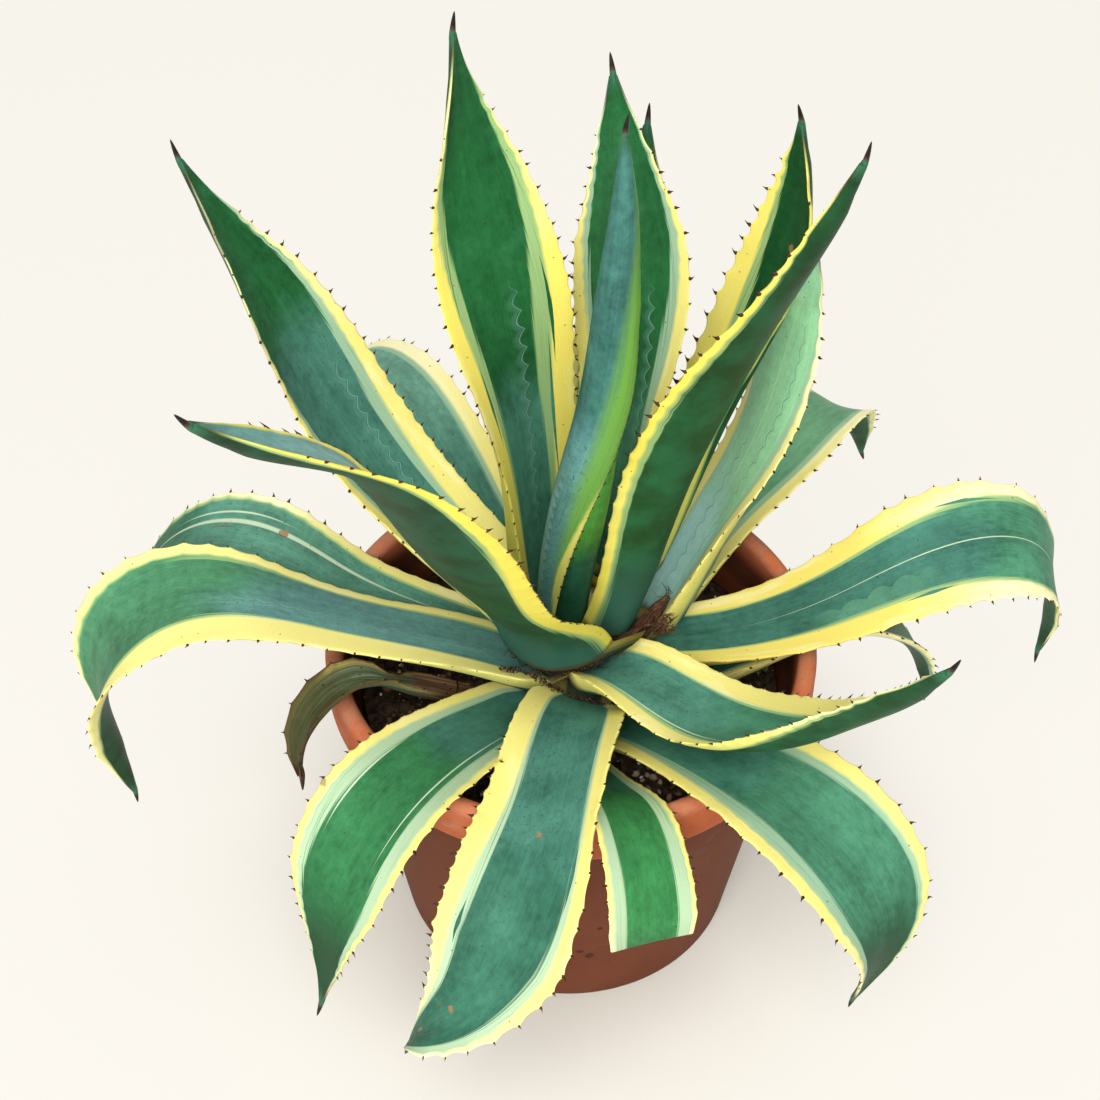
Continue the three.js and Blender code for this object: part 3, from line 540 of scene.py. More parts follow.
def paint_centre(sh, look):
    """The green centre of both faces, and how waxy and how pitted it is."""
    # it turns from the root's bluish tone to the fresher one further out, with a wavy front
    front = sh.share + sh.streaks(0.9, 10, 5, 3) * 0.22 + abs(sh.across) * 0.05
    turned = sh.rise(front, look.turns_at - 0.03, look.turns_at + 0.09)
    sh.colour = sh.blend(turned, look.root_tone, look.tone)
    cloud = sh.noise(sh.skin, 38, 5, 0.6)
    fleck = sh.noise(sh.stretch(sh.skin, 1, 0.6, 1), 210, 4, 0.65)
    drift = sh.streaks(1.6, 8, 23, 4) * 1.2 + sh.streaks(40, 7, 29) * 0.5
    drift = drift + (cloud - 0.5) * 0.9 + (fleck - 0.5) * 1.1
    sh.shade(drift * look.drift + 0.84)
    waxy = sh.rise(cloud + turned * -0.18, 0.34, 0.62) * look.bloom
    sh.paint(waxy * 0.55, MIST)
    for side, at_root, at_tip, start, end in look.veils:
        veiled = sh.rise(scallops(sh, look, at_root, at_tip) * side, -0.01, 0.02)
        veiled = veiled * sh.between(sh.share, start, end, 0.10)
        sh.paint(veiled * (cloud * 0.62 + 0.02), look.veil_tone)
    pits = sh.noise(sh.stretch(sh.skin, 1, 0.75, 1), 460, 4, 0.6)
    pitted = sh.rise(pits, 0.56, 0.68) * (waxy + 0.25)
    sh.paint(pitted * 0.75, darker(look.tone, 0.3))
    outer = sh.share + sh.streaks(1.5, 12, 67) * 0.12
    sh.paint(sh.rise(outer, look.dark_from, look.dark_from + 0.22) * 0.92, DARK_END)

    # painted shade: the underside is painted darker and plainer, and darker still towards the tip
    back = sh.blend(sh.rise(cloud, 0.3, 0.75), UNDERSIDE_SHADE, UNDERSIDE_SHADE_CLOUD)
    back = sh.shaded(back, (sh.share * -0.5 + 1.15) * look.underside_shade_light)
    back = sh.blend(sh.rise(front, 0.22, 0.06), back, darker(SEA, 0.5))
    sh.paint(sh.under * look.underside_shade, back)
    return waxy, pitted


def paint_margins(sh, look):
    """The yellow margins, which pale towards the tip, and the streaked pale band inside them."""
    yellow, pale = bands(sh, look)
    streaky = sh.rise(sh.streaks(70, 6, 31), 0.10, 0.16)
    band = sh.blend(streaky * 0.7, look.pale_tone, look.tone)
    # painted shade: the pale band is darker on the underside
    band = sh.blend(sh.under * 0.5, band, darker(look.pale_tone, 0.5))
    further = sh.share + sh.streaks(2.2, 6, 37) * 0.5
    paling = sh.rise(further, 1.05 - look.cream, 1.35 - look.cream)
    margin = sh.blend(paling * 0.8 + 0.2 * look.cream, look.yellow_tone, CREAM)
    creamy = sh.rise(sh.streaks(3, 14, 39, 3), 0.05, 0.2)
    margin = sh.blend(creamy * (0.15 + 0.4 * look.cream), margin, CREAM)
    # painted shade: the yellow margin is darker on the underside
    margin = sh.blend(sh.under * 0.45, margin, UNDER_YELLOW_SHADE)
    sh.paint(pale * 0.9, band)
    sh.paint(yellow, margin)


def paint_marks(sh, look, leaf):
    """Pale lines, prints of neighbours' teeth, scratches and scars. Gives how high they stand."""
    height = sh.streaks(60, 9, 43, 3) * 0.5
    for place, start, end, half in look.lines:
        full = sh.between(sh.share, start, end, 0.45 * (end - start))
        aside = sh.aside(place, 0.10, 5, 41) + sh.streaks(20, 7, 71) * (0.8 * half)
        aside = aside + (1 - full) * (0.9 * half)
        line = sh.rise(aside, 1.4 * half, 0.6 * half) * sh.between(sh.share, start, end, 0.08) * sh.upper
        sh.paint(line * 0.8, WHITE_LINE)
    for at_root, at_tip, start, end in look.prints:
        past = scallops(sh, look, at_root, at_tip)
        shown = sh.between(sh.share, start, end, 0.08) * sh.upper
        rim = sh.rise(abs(past), 0.020, 0.004) * shown
        sh.paint(rim * 0.55, PRINT)
        sh.paint(sh.rise(past, 0, 0.01) * sh.rise(past, 0.16, 0.04) * shown * 0.15, PRINT)
        height = height + rim * -1.2
    for place, start, end, half in look.scratches:
        broken = sh.rise(sh.streaks(4, 60, 89, 3), -0.02, 0.06)
        scratch = sh.rise(sh.aside(place, 0.12, 40, 83, 4), half, 0.3 * half) * broken * sh.upper
        scratch = scratch * sh.between(sh.share, start, end, 0.01)
        sh.paint(scratch * 0.8, darker(TAN, 0.7))
        height = height + scratch * -1
    sh.paint(sh.spots(sh.skin, 120, 0.09, 0.05, 0.60, 0.61) * 0.75, SPECK)
    scar = sh.spots(sh.skin, 24, 0.15, 0.11, 0.88, 0.89, sh.noise(sh.skin, 420) * 0.12)
    sh.paint(scar * 0.8, TAN)
    # brown at the root and painted shade between the leaf bases: the leaf darkens within a few millimetres
    # of its root
    root = sh.rise(sh.along + sh.streaks(3, 60, 73, 3) * 0.012, 0.008, 0.002)
    sh.paint(root * 0.75, ROOT_BROWN_AND_SHADE)
    for place, share, size in look.scars:
        away = sh.distance(sh.across - place, (sh.share - share) * (2 * leaf.length / leaf.width))
        ragged = away + (sh.noise(sh.skin, 260, 4) - 0.5) * (1.4 * size)
        mark = sh.rise(ragged, size, 0.7 * size) * sh.upper
        sh.paint(mark * 0.85, TAN)
        height = height + mark * -1
    return height + scar * -0.8


def leaf_skin(leaf, look):
    """Green centre, pale band and yellow margins, streaked lengthwise, with bloom, prints and specks."""
    sh = LeafShader(leaf.name + "_skin", look.seed)
    waxy, pitted = paint_centre(sh, look)
    paint_margins(sh, look)
    height = paint_marks(sh, look, leaf)
    brown_edge = sh.rise(sh.edge, 0.0006, 0.0002) * sh.rise(sh.streaks(0.2, 26, 47), 0, 0.15)
    sh.paint(brown_edge * 0.7, TAN)
    horny = sh.rise(sh.edge, 0.0009, 0.0003) * sh.rise(sh.tip, 0.050, 0.022)
    sh.paint(horny * 0.85, darker(HORN_ROOT, 0.6))
    sh.paint(sh.rise(sh.tip + sh.streaks(3, 30, 61) * 0.006, 0.030, 0.017), TIP_GREEN)
    fine = sh.noise(sh.skin, 900, 3, 0.6)
    sh.shade(fine * 0.20 + 0.90)
    height = height + fine * 0.3 + pitted * -0.8
    return sh.finish(waxy * 0.30 + fine * 0.14 + 0.36, height, 0.0004)


def spine_material():
    """The last green of a blade running out into a near black point."""
    sh = Shader("spine")
    grain = sh.noise(sh.stretch(sh.place(), 700, 700, 250))
    reach = sh.attribute("reach") + (grain - 0.5) * 0.10
    horn = sh.blend(sh.rise(reach, 0.54, 0.64), HORN_ROOT, HORN)
    sh.colour = sh.blend(sh.rise(reach, 0.46, 0.54), TIP_GREEN, horn)
    return sh.finish(grain * 0.25 + 0.34, grain, 0.0002)


def horn_material():
    """Dark horn of the teeth: brown at the root, near black at the point."""
    sh = Shader("horn")
    grain = sh.noise(sh.stretch(sh.place(), 900, 900, 300))
    sh.colour = sh.blend(sh.rise(sh.attribute("reach") + grain * 0.3, 0.30, 0.75), HORN_ROOT, HORN)
    return sh.finish(grain * 0.25 + 0.30, grain, 0.0002)


# ------------------------------------------------------------------ a leaf's form

TURN = 2 * np.pi
WRAPS = {"leaf_03": 0.25}  # how much further a left margin reaches round the heart at the root, as a share
LOW_ROOT = 262  # below this height the leaves' roots narrow where the ones above cover them


def glide(values, t):
    """Smooth curve through evenly spaced values, with t from 0 to 1 along them."""
    listed = np.array(values, float)
    last = len(listed) - 1
    x = np.clip(t, 0, 1) * last
    i = np.minimum(x.astype(int), last - 1)
    f = x - i

    def at(k):
        return listed[np.clip(k, 0, last)]

    slope_in = (at(i + 1) - at(i - 1)) / 2
    slope_out = (at(i + 2) - at(i)) / 2
    f2, f3 = f**2, f**3
    return ((2 * f3 - 3 * f2 + 1) * at(i) + (f3 - 2 * f2 + f) * slope_in
            + (3 * f2 - 2 * f3) * at(i + 1) + (f3 - f2) * slope_out)


def smooth(x, low, high):
    u = np.clip((x - low) / (high - low), 0, 1)
    return u * u * (3 - 2 * u)


def around_axis(distance, bearing, height, x=0, y=0):
    """The point at a distance and bearing (in radians) from an upright axis."""
    return np.array([x + distance * math.cos(bearing), y + distance * math.sin(bearing), height])


def channel_of(leaf, t):
    return np.radians(np.maximum(glide(leaf.gutter, t), 2))


def half_width(leaf, t):
    whole = t * leaf.cut_at
    rising = leaf.narrowest + (1 - leaf.narrowest) * np.sin(np.pi / 2 * whole / leaf.widest_at)
    past = np.clip((whole - leaf.widest_at) / (1 - leaf.widest_at), 0, 1)
    wide = leaf.width / 2 * np.where(whole < leaf.widest_at, rising, np.cos(np.pi / 2 * past) ** 0.9)
    if not leaf.has_spine:
        return np.maximum(wide, MARGIN_THICKNESS)
    before_spine = np.maximum((1 - t) * leaf.length - SPINE_LENGTH, 0)
    tapering = SPINE_RADIUS + TIP_FLARE * before_spine
    return np.minimum(wide, tapering * channel_of(leaf, t) if leaf.furled else tapering)


def thickness(leaf, t, v):
    margin = MARGIN_THICKNESS * (0.7 if leaf.thin else 1)
    keel = (0.3 if leaf.thin else 1) * (TIP_THICKNESS + BASE_SWELLING * (1 - t) ** 2.2)
    near_tip = np.clip((1 - t) * 8, 0.75, 1)
    return margin + np.maximum(keel * near_tip - margin, 0) * (1 - v * v)


def ways(leaf, t):
    """Unit vectors along the leaf, to its left and up from its face, at each t."""
    pitch = np.radians(glide(leaf.pitch, t))
    heading = np.radians(leaf.heading + glide(leaf.turn, t))
    roll = np.radians(glide(leaf.roll, t))[:, None]
    along = np.stack([np.cos(pitch) * np.cos(heading), np.cos(pitch) * np.sin(heading), np.sin(pitch)], 1)
    level = np.stack([-np.sin(heading), np.cos(heading), np.zeros_like(heading)], 1)
    raised = np.cross(along, level)
    left = level * np.cos(roll) + raised * np.sin(roll)
    upper = raised * np.cos(roll) - level * np.sin(roll)
    return along, left, upper


class Blade:
    """A leaf's midline as stations, and points over it: v is -1 at the right margin and 1 at the left."""

    def __init__(self, leaf, stations=STATIONS, at=None):
        self.leaf = leaf
        end = 1 - SPINE_LENGTH / leaf.length if leaf.has_spine else 1
        t = np.linspace(0, end, stations)
        steps = ways(leaf, (t[1:] + t[:-1]) / 2)[0] * leaf.length * np.diff(t)[:, None]
        outward = around_axis(1, math.radians(leaf.heading + leaf.seat_turn), 0)
        if at is None:
            at = np.array([STEM_X, STEM_Y, leaf.height]) + leaf.seat * outward
            sunk = leaf.seat > STEM_RADIUS
        else:
            sunk = False
        place = at + np.vstack([np.zeros(3), np.cumsum(steps, axis=0)])
        if sunk:  # a seat outside the stem gets a root that reaches into it
            root = place[0] - outward * (leaf.seat - 0.6 * STEM_RADIUS)
            place = np.vstack([root, place])
            t = np.concatenate([[0], t])
        self.t = t
        self.place = place
        self.along, self.left, self.upper = ways(leaf, t)
        self.half = half_width(leaf, t)
        if leaf.height < LOW_ROOT:
            self.half = self.half * (0.72 + 0.28 * smooth(t, 0, 0.06))
        self.channel = channel_of(leaf, t)
        self.raised = {side: np.zeros_like(t) for side in SIDES}  # how far each margin stands out
        self.ripple = {side: np.zeros_like(t) for side in SIDES}  # and how far it waves out of the face

    def raise_margins(self, teeth, height, random):
        """Margins swell to each tooth and are scalloped between, and wave a little out of the face."""
        for side in SIDES:
            places = teeth[side]
            if len(places) < 2:
                continue
            k = np.clip(np.searchsorted(places, self.t) - 1, 0, len(places) - 2)
            u = np.clip((self.t - places[k]) / (places[k + 1] - places[k]), 0, 1)
            toothed = smooth(self.t, places[0] - 0.05, places[0] + 0.05)
            toothed = toothed * smooth(self.t, places[-1] + 0.06, places[-1] - 0.02)
            toothed = toothed * (0.3 + 0.7 * smooth(self.t, 0.12, 0.45))
            self.raised[side] = height * np.abs(2 * u - 1) ** 2.2 * toothed
            wave = random.normal(0, 1, len(self.t) // 10 + 2)
            self.ripple[side] = 0.2 * height * glide(wave, np.linspace(0, 1, len(self.t))) * toothed

    def wrap(self, t):
        """How much further the left margin reaches round, as a share of the channel."""
        return WRAPS.get(self.leaf.name, 0) * smooth(t, 0.42, 0.04)

    def by_side(self, v, values):
        return np.where(v < 0, values[-1][:, None], values[1][:, None])

    def points(self, v, depth):
        """Points for every station and every v, a depth below the upper face that may differ at each."""
        v = np.broadcast_to(v, (len(self.t), np.shape(v)[-1]))
        angle = self.channel[:, None] * v * (1 + self.wrap(self.t)[:, None] * (v > 0) * v)
        radius = (self.half / self.channel)[:, None]
        left = self.left[:, None, :]
        upper = self.upper[:, None, :]
        sine, cosine = np.sin(angle)[..., None], np.cos(angle)[..., None]
        radial = left * sine - upper * cosine
        tangent = left * cosine + upper * sine
        near_margin = smooth(np.abs(v), 0.68, 1)
        stand = self.by_side(v, self.raised) * near_margin
        wave = self.by_side(v, self.ripple) * near_margin
        centre = self.place[:, None, :] + upper * radius[..., None]
        points = centre + radial * (radius + depth + wave)[..., None]
        return points + tangent * (np.sign(v) * stand)[..., None]

    def margin(self, t, side):
        """Place, outward way, way along and way up from the face at a margin."""
        i = int(np.argmin(np.abs(self.t - t)))
        angle = self.channel[i] * side * (1 + float(self.wrap(self.t[i])) * (side > 0))
        radius = self.half[i] / self.channel[i]
        radial = self.left[i] * math.sin(angle) - self.upper[i] * math.cos(angle)
        tangent = self.left[i] * math.cos(angle) + self.upper[i] * math.sin(angle)
        reach = radius + MARGIN_THICKNESS / 2 + self.ripple[side][i]
        centre = self.place[i] + self.upper[i] * radius
        place = centre + radial * reach + tangent * side * self.raised[side][i]
        return place, tangent * side, self.along[i], -radial


class Body:
    """Points, faces and named values gathered for one mesh, in millimetres."""

    def __init__(self):
        self.points = []
        self.faces = []
        self.slots = []
        self.values = []
        self.count = 0

    def add(self, points, faces, slot=0, **values):
        flat = np.asarray(points, float).reshape(-1, 3)
        self.points.append(flat)
        self.faces.extend([[i + self.count for i in face] for face in faces])
        self.slots.extend([slot] * len(faces))
        self.values.append((len(flat), {k: np.asarray(v, float).reshape(-1) for k, v in values.items()}))
        self.count += len(flat)

    def build(self, name, materials, body_slot, *nodes):
        """The finished object, riding on the root body in place of its CAD nodes."""
        mesh = bpy.data.meshes.new(name)
        points = np.concatenate(self.points) * MM
        mesh.from_pydata(points.tolist(), [], self.faces)
        for key in sorted({key for _, values in self.values for key in values}):
            column = np.concatenate([values.get(key, np.zeros(n)) for n, values in self.values])
            attribute = mesh.attributes.new(key, "FLOAT", "POINT")
            attribute.data.foreach_set("value", column.astype(np.float32))
        for material in materials:
            mesh.materials.append(material)
        mesh.polygons.foreach_set("material_index", self.slots)
        mesh.polygons.foreach_set("use_smooth", [len(face) <= 4 for face in self.faces])
        turn_faces_out(mesh)
        piece = bpy.data.objects.new(name, mesh)
        bpy.context.scene.collection.objects.link(piece)
        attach(piece, ROOT)
        if nodes:
            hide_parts(*nodes)
        return piece


def turn_faces_out(mesh):
    whole = bmesh.new()
    whole.from_mesh(mesh)
    bmesh.ops.recalc_face_normals(whole, faces=whole.faces)
    whole.to_mesh(mesh)
    whole.free()


def tube_faces(rings, sides):
    """Quads joining each ring of points to the next, and a face closing each end."""
    i, k = np.meshgrid(np.arange(rings - 1), np.arange(sides), indexing="ij")
    near = i * sides + k
    beside = i * sides + (k + 1) % sides
    quads = np.stack([near, beside, beside + sides, near + sides], axis=-1).reshape(-1, 4)
    last = (rings - 1) * sides
    return quads.tolist() + [list(range(sides))[::-1], list(range(last, last + sides))]


def add_blade(body, blade, look, face_depth=None, thick=None):
    """A closed blade with a rounded margin: one ring of points round each station."""
    leaf = blade.leaf
    v = np.sin(np.linspace(-np.pi / 2, np.pi / 2, ACROSS + 1))
    around = np.concatenate([v, v[-2:0:-1]])
    lower = np.concatenate([np.zeros(ACROSS + 1), np.ones(ACROSS - 1)])
    t = blade.t[:, None]
    thick = thickness(leaf, t, around) if thick is None else thick
    rounding = 1 - np.sqrt(np.clip(1 - np.abs(around) ** 26, 0, 1))
    margin = MARGIN_THICKNESS / 2 * rounding
    depth = np.where(lower > 0, thick - margin, margin) * np.ones_like(t)
    if face_depth is not None:
        depth = depth + face_depth(t, around)
    points = blade.points(around, depth)
    rings, sides = points.shape[:2]
    reach = t * leaf.length
    half = blade.half[:, None]
    ones = np.ones((rings, sides))
    left_side = around * ones > 0
    yellow = np.where(left_side, *(glide(shares, blade.t)[:, None] for shares in look.yellow))
    pale = np.where(left_side, *(glide(shares, blade.t)[:, None] for shares in look.pale))
    body.add(
        points, tube_faces(rings, sides),
        across=around * ones,
        along=reach * ones * MM,
        share=t * ones,
        arc=around * half * MM,
        yellow_from=1 - yellow,
        pale_from=1 - yellow - pale,
        edge=(1 - np.abs(around)) * half * MM,
        tip=(leaf.length - reach + (0 if leaf.has_spine else 1000)) * ones * MM,
        under=lower * ones,
    )


def add_horn(body, places, radii, flat, across, up, slot, sides=8):
    """A tapering point of horn: rings of given radii at given places, flattened along the way up."""
    turn = np.arange(sides) * TURN / sides
    circle = np.cos(turn)[:, None] * across + np.sin(turn)[:, None] * flat * up
    rings = places[:, None, :] + circle[None] * radii[:, None, None]
    reach = np.linspace(0, 1, len(places))[:, None] * np.ones((1, sides))
    body.add(rings, tube_faces(len(places), sides), slot, reach=reach)


def add_tooth(body, blade, t, side, height, hook):
    """A hooked tooth, its broad root sunk in the margin."""
    place, outward, along, up = blade.margin(t, side)
    s = np.array([-0.45, -0.1, 0.12, 0.38, 0.68, 0.9, 1])[:, None]
    places = place + outward * height * s + along * hook * height * np.maximum(s, 0) ** 1.6
    radii = height * np.array([0.46, 0.40, 0.29, 0.19, 0.11, 0.06, 0.02])
    add_horn(body, places, radii, 0.6, along, up, TOOTH_SLOT)


def add_spine(body, blade, slot):
    """The terminal spine: a slightly curved horny point that clasps the end of the blade."""
    along, left, upper = blade.along[-1], blade.left[-1], blade.upper[-1]
    s = np.linspace(0, 1, 16)[:, None]
    middle = blade.half[-1] / blade.channel[-1] if blade.leaf.furled else -TIP_THICKNESS * 0.75 / 2
    base = blade.place[-1] + upper * middle
    rooted = 9
    reach = rooted + SPINE_LENGTH
    places = base + along * (s * reach - rooted) + upper * 1.2 * s**2
    beyond = np.clip((s[:, 0] * reach - rooted) / SPINE_LENGTH, 0, 1)
    radii = 1.2 * SPINE_RADIUS * (1 - beyond) ** 0.62 * (0.8 + 0.2 * smooth(s[:, 0], 0, 0.25)) + 0.14
    add_horn(body, places, radii, 0.85, left, upper, slot, sides=12)


def tooth_places(leaf, look, random):
    """Places of the teeth along each margin, unevenly spaced, as shares of the length."""
    places = {}
    for side in SIDES:
        t = 0.07 + 0.02 * random.random()
        listed = []
        while t < (0.86 if leaf.has_spine else 0.95):
            listed.append(t)
            t += look.tooth_gap * random.uniform(0.7, 1.3) / leaf.length
        places[side] = np.array(listed)
    return places


def toothed_blade(leaf, look, random):
    """A blade with swollen margins, and where its teeth go."""
    blade = Blade(leaf)
    teeth = tooth_places(leaf, look, random)
    blade.raise_margins(teeth, look.bump, random)
    return blade, teeth


def build_leaf(body, leaf, look):
    materials = [leaf_skin(leaf, look), HORN_MATERIAL, SPINE_MATERIAL]
    body.build(leaf.name + "_blade", materials, "leaf", leaf.name)


def make_leaf(leaf):
    """One leaf with its undulating margins, teeth and spine."""
    look = LOOKS[leaf.name]
    random = np.random.default_rng(look.seed)
    blade, teeth = toothed_blade(leaf, look, random)
    body = Body()
    add_blade(body, blade, look)
    for side in SIDES:
        for t in teeth[side]:
            middle = smooth(t, 0.02, 0.3) * smooth(t, 0.98, 0.75)
            height = look.tooth_height * (0.4 + 0.6 * middle) * random.uniform(0.6, 1.1)
            add_tooth(body, blade, t, side, height, random.uniform(-0.1, 0.8))
    if leaf.has_spine:
        add_spine(body, blade, SPINE_SLOT)
    build_leaf(body, leaf, look)


def make_spear(leaf):
    """The youngest leaf, still furled: an outer wrap with one free margin, round an inner roll."""
    look = LOOKS[leaf.name]
    random = np.random.default_rng(look.seed)
    wrap, teeth = toothed_blade(leaf, look, random)
    wall = 2.2
    slimming = smooth(wrap.t, 0.84, 1)
    wrap_radius = wrap.half / wrap.channel * (1 - 0.1 * slimming)
    wrap.channel = wrap.channel * glide([1, 1, 1.12, 1.25, 1.25], wrap.t)
    wrap.half = wrap_radius * wrap.channel
    share = (1 - 0.7 * slimming)[:, None]
    body = Body()
    add_blade(body, wrap, look, lambda t, v: (1.5 * v - wall) * share, wall * share)
    for t in teeth[1][teeth[1] < 0.62]:
        add_tooth(body, wrap, t, 1, look.tooth_height * random.uniform(0.8, 1.2), 0.4)
    add_spine(body, wrap, SPINE_SLOT)
    build_leaf(body, leaf, look)

    roll = Blade(replace(leaf, roll=[turn + 150 for turn in leaf.roll]))
    opened = smooth(roll.t, 0.62, 0.2)  # towards its foot the roll is fatter and stands out of the wrap
    roll_radius = wrap_radius * (0.62 + 0.22 * opened)
    roll.channel = np.full_like(roll.channel, math.radians(172))  # all but closed
    roll.half = roll_radius * roll.channel
    opening = around_axis(1, math.radians(-28), 0)  # the way the wrap is open
    axis = wrap.place + wrap.upper * wrap_radius[:, None] + opening * (0.42 * wrap_radius * opened)[:, None]
    roll.place = axis - roll.upper * roll_radius[:, None]
    inner = Body()
    add_blade(inner, roll, ROLL_LOOK, lambda t, v: 0.9 * v - wall, wall)
    inner.build("leaf_01_inner_roll", [leaf_skin(replace(leaf, name="leaf_01_inner"), ROLL_LOOK)], "leaf")


# ------------------------------------------------------------------ withered pieces

TANGLE = (66, -2, 285)  # where loose fibres gather beside the husk
BRACT_ROOT = (16, -33, 283)
BRACT = Leaf(
    "bract", heading=36, height=0, length=46, width=9, seat=0, seat_turn=0,
    pitch=[4, 0, 8], turn=[0, 6, 10], roll=[-35, -15, -20], gutter=[50, 70, 50], thin=True, bare=True)


def crumple(seed, size, lengthwise=5, crosswise=2):
    """A face depth that wrinkles a dry blade, mostly along its length."""
    random = np.random.default_rng(seed)
    limits = ((1, lengthwise), (0.5, crosswise), (0, 7))  # waves along, waves across and their phase
    waves = [[random.uniform(*pair) for pair in limits] for _ in range(7)]

    def depth(t, v):
        total = 0
        for number, (along, across, phase) in enumerate(waves):
            total = total + np.sin(TURN * (along * t + across * v) + phase) / (1 + 0.3 * number)
        return size * total / 2

    return depth


def make_withered_leaf(leaf):
    """A small leaf that has dried at its margins and shrunk to a neck where it leaves the soil."""
    look = WITHERED_LOOK
    random = np.random.default_rng(44)
    blade, teeth = toothed_blade(leaf, look, random)
    blade.half = blade.half * (1 - 0.5 * np.exp(-((blade.t - 0.36) / 0.07) ** 2))
    body = Body()
    add_blade(body, blade, look, crumple(5, 0.8))
    for side in SIDES:
        for t in teeth[side]:
            add_tooth(body, blade, t, side, look.tooth_height * random.uniform(0.6, 1.1), 0.2)
    add_spine(body, blade, TOOTH_SLOT)
    body.build(leaf.name + "_blade", [withered_skin(leaf), HORN_MATERIAL], "withered_leaf", leaf.name)


def make_husk(leaf):
    """A crumpled papery scrap of a dead leaf, with loose fibres at its end and a dry bract beside it."""
    blade = Blade(leaf, 60)
    body = Body()
    add_blade(body, blade, WITHERED_LOOK, crumple(9, 1.1, 3, 3))
    random = np.random.default_rng(9)
    for _ in range(14):
        add_loose_fibre(body, blade.place[-1] + random.normal(0, 3, 3), 6, 15, 0.35, random)
    for _ in range(80):
        add_loose_fibre(body, np.array(TANGLE) + random.normal(0, 1, 3) * (4, 3, 4), 5, 11, 0.6, random)
    add_blade(body, Blade(BRACT, 60, at=BRACT_ROOT), WITHERED_LOOK, crumple(12, 0.9, 4, 2))
    body.build("dry_husk_scrap", [husk_material()], "husk", leaf.name)


def add_fibre(body, start, heading, length, radius, random):
    """A thin dry fibre that curls from a starting place."""
    s = np.linspace(0, 1, 16)[:, None]
    turn = heading + random.uniform(-2.5, 2.5) * s
    way = np.hstack([np.cos(turn), np.sin(turn), 0.5 * np.sin(3 * s + heading)])
    places = start + np.cumsum(way, axis=0) * length / 16
    across, up = np.array([0, 0, 1]), np.array([math.sin(heading), -math.cos(heading), 0])
    add_horn(body, places, np.full(16, radius) * (1 - 0.6 * s[:, 0]), 1, across, up, 0, sides=5)


def add_loose_fibre(body, start, shortest, longest, radius, random):
    """A fibre of any heading, and of a length between two."""
    heading = random.uniform(0, TURN)
    add_fibre(body, start, heading, random.uniform(shortest, longest), radius, random)


WITHERED_TONES = (0.075, 0.105, 0.055), (0.27, 0.35, 0.28)
WITHERED_YELLOW = (0.33, 0.28, 0.09)
WITHERED_BROWN = (0.15, 0.075, 0.035)
WITHERED_BLOTCH = (0.12, 0.095, 0.04)
WITHERED_OUTER = (0.018, 0.022, 0.005), (0.085, 0.078, 0.026)
WITHERED_ROOT = (0.1, 0.05, 0.025), (0.26, 0.15, 0.08)
WITHERED_SPECK = (0.03, 0.02, 0.012)
WITHERED_UNDER_SHADE = (0.06, 0.085, 0.035)
WITHERED_EDGE = (0.11, 0.055, 0.028)


def withered_skin(leaf):
    """Grey green with dry brown margins, a dark outer part, a brown root and an underside darkened as
    painted shade.
    """
    sh = LeafShader(leaf.name + "_skin", WITHERED_LOOK.seed)
    outward = abs(sh.across)
    streak = sh.streaks(14, 9, 2, 4) + 0.5
    blotch = sh.noise(sh.stretch(sh.skin, 1, 0.7, 1), 70, 5, 0.65)
    sh.colour = sh.blend(sh.rise(streak, 0.35, 0.90), *WITHERED_TONES)
    sh.paint(sh.rise(outward + streak * 0.3, 0.80, 1), WITHERED_YELLOW)
    sh.paint(sh.rise(outward + blotch * 0.4, 1.06, 1.16), WITHERED_BROWN)
    sh.paint(sh.rise(blotch, 0.56, 0.66) * 0.6, WITHERED_BLOTCH)
    sh.paint(sh.rise(sh.share + blotch * 0.3, 0.58, 0.78) * 0.88, sh.blend(blotch, *WITHERED_OUTER))
    dry = sh.blend(sh.rise(streak, 0.4, 0.6), *WITHERED_ROOT)
    sh.paint(sh.rise(sh.along + blotch * 0.03, 0.085, 0.070), dry)
    speck = sh.spots(sh.skin, 170, 0.16, 0.08, 0.6, 0.62)
    sh.paint(speck * 0.8, WITHERED_SPECK)
    # painted shade: the underside is darker
    sh.paint(sh.under * 0.5, WITHERED_UNDER_SHADE)
    sh.paint(sh.rise(sh.tip, 0.030, 0.022), HORN_ROOT)
    sh.paint(sh.rise(sh.edge, 0.0011, 0.0004), WITHERED_EDGE)
    return sh.finish(blotch * 0.35 + 0.42, streak + blotch * 0.8 + speck * -0.6, 0.0012)


SEAM = (  # where old bracts crumble round the heart: bearing from the stem, distance and height
    (178, 64, 279), (205, 60, 275), (228, 55, 272), (250, 45, 273), (268, 37, 275), (290, 31, 277),
    (315, 31, 278), (340, 36, 277), (365, 48, 278),
)

FRONT_SEAM = (  # and where they crumble between the lowest leaves in front
    (219, 83, 285), (225, 66, 276), (238, 62, 272), (250, 57, 262), (270, 53, 255), (279, 64, 257),
)


def add_seam(body, seam, crumbs, fibres, random):
    """Crumbs and then fibres strewn along a seam."""
    bearings, distances, heights = np.array(seam, float).T
    for number in range(crumbs + fibres):
        share = random.uniform(0, 1)
        bearing = math.radians(float(glide(bearings, share)) + random.normal(0, 1))
        distance = float(glide(distances, share)) + random.normal(0, 0.9)
        height = float(glide(heights, share)) + random.normal(0, 1.4)
        middle = around_axis(distance, bearing, height, STEM_X, STEM_Y)
        if number < crumbs:
            points, faces = crumb(random, random.uniform(0.4, 1.3), 0.7)
            body.add(points + middle, faces, along=np.full(len(points), random.random() * 0.3))
        else:
            add_loose_fibre(body, middle, 6, 15, 0.32, random)


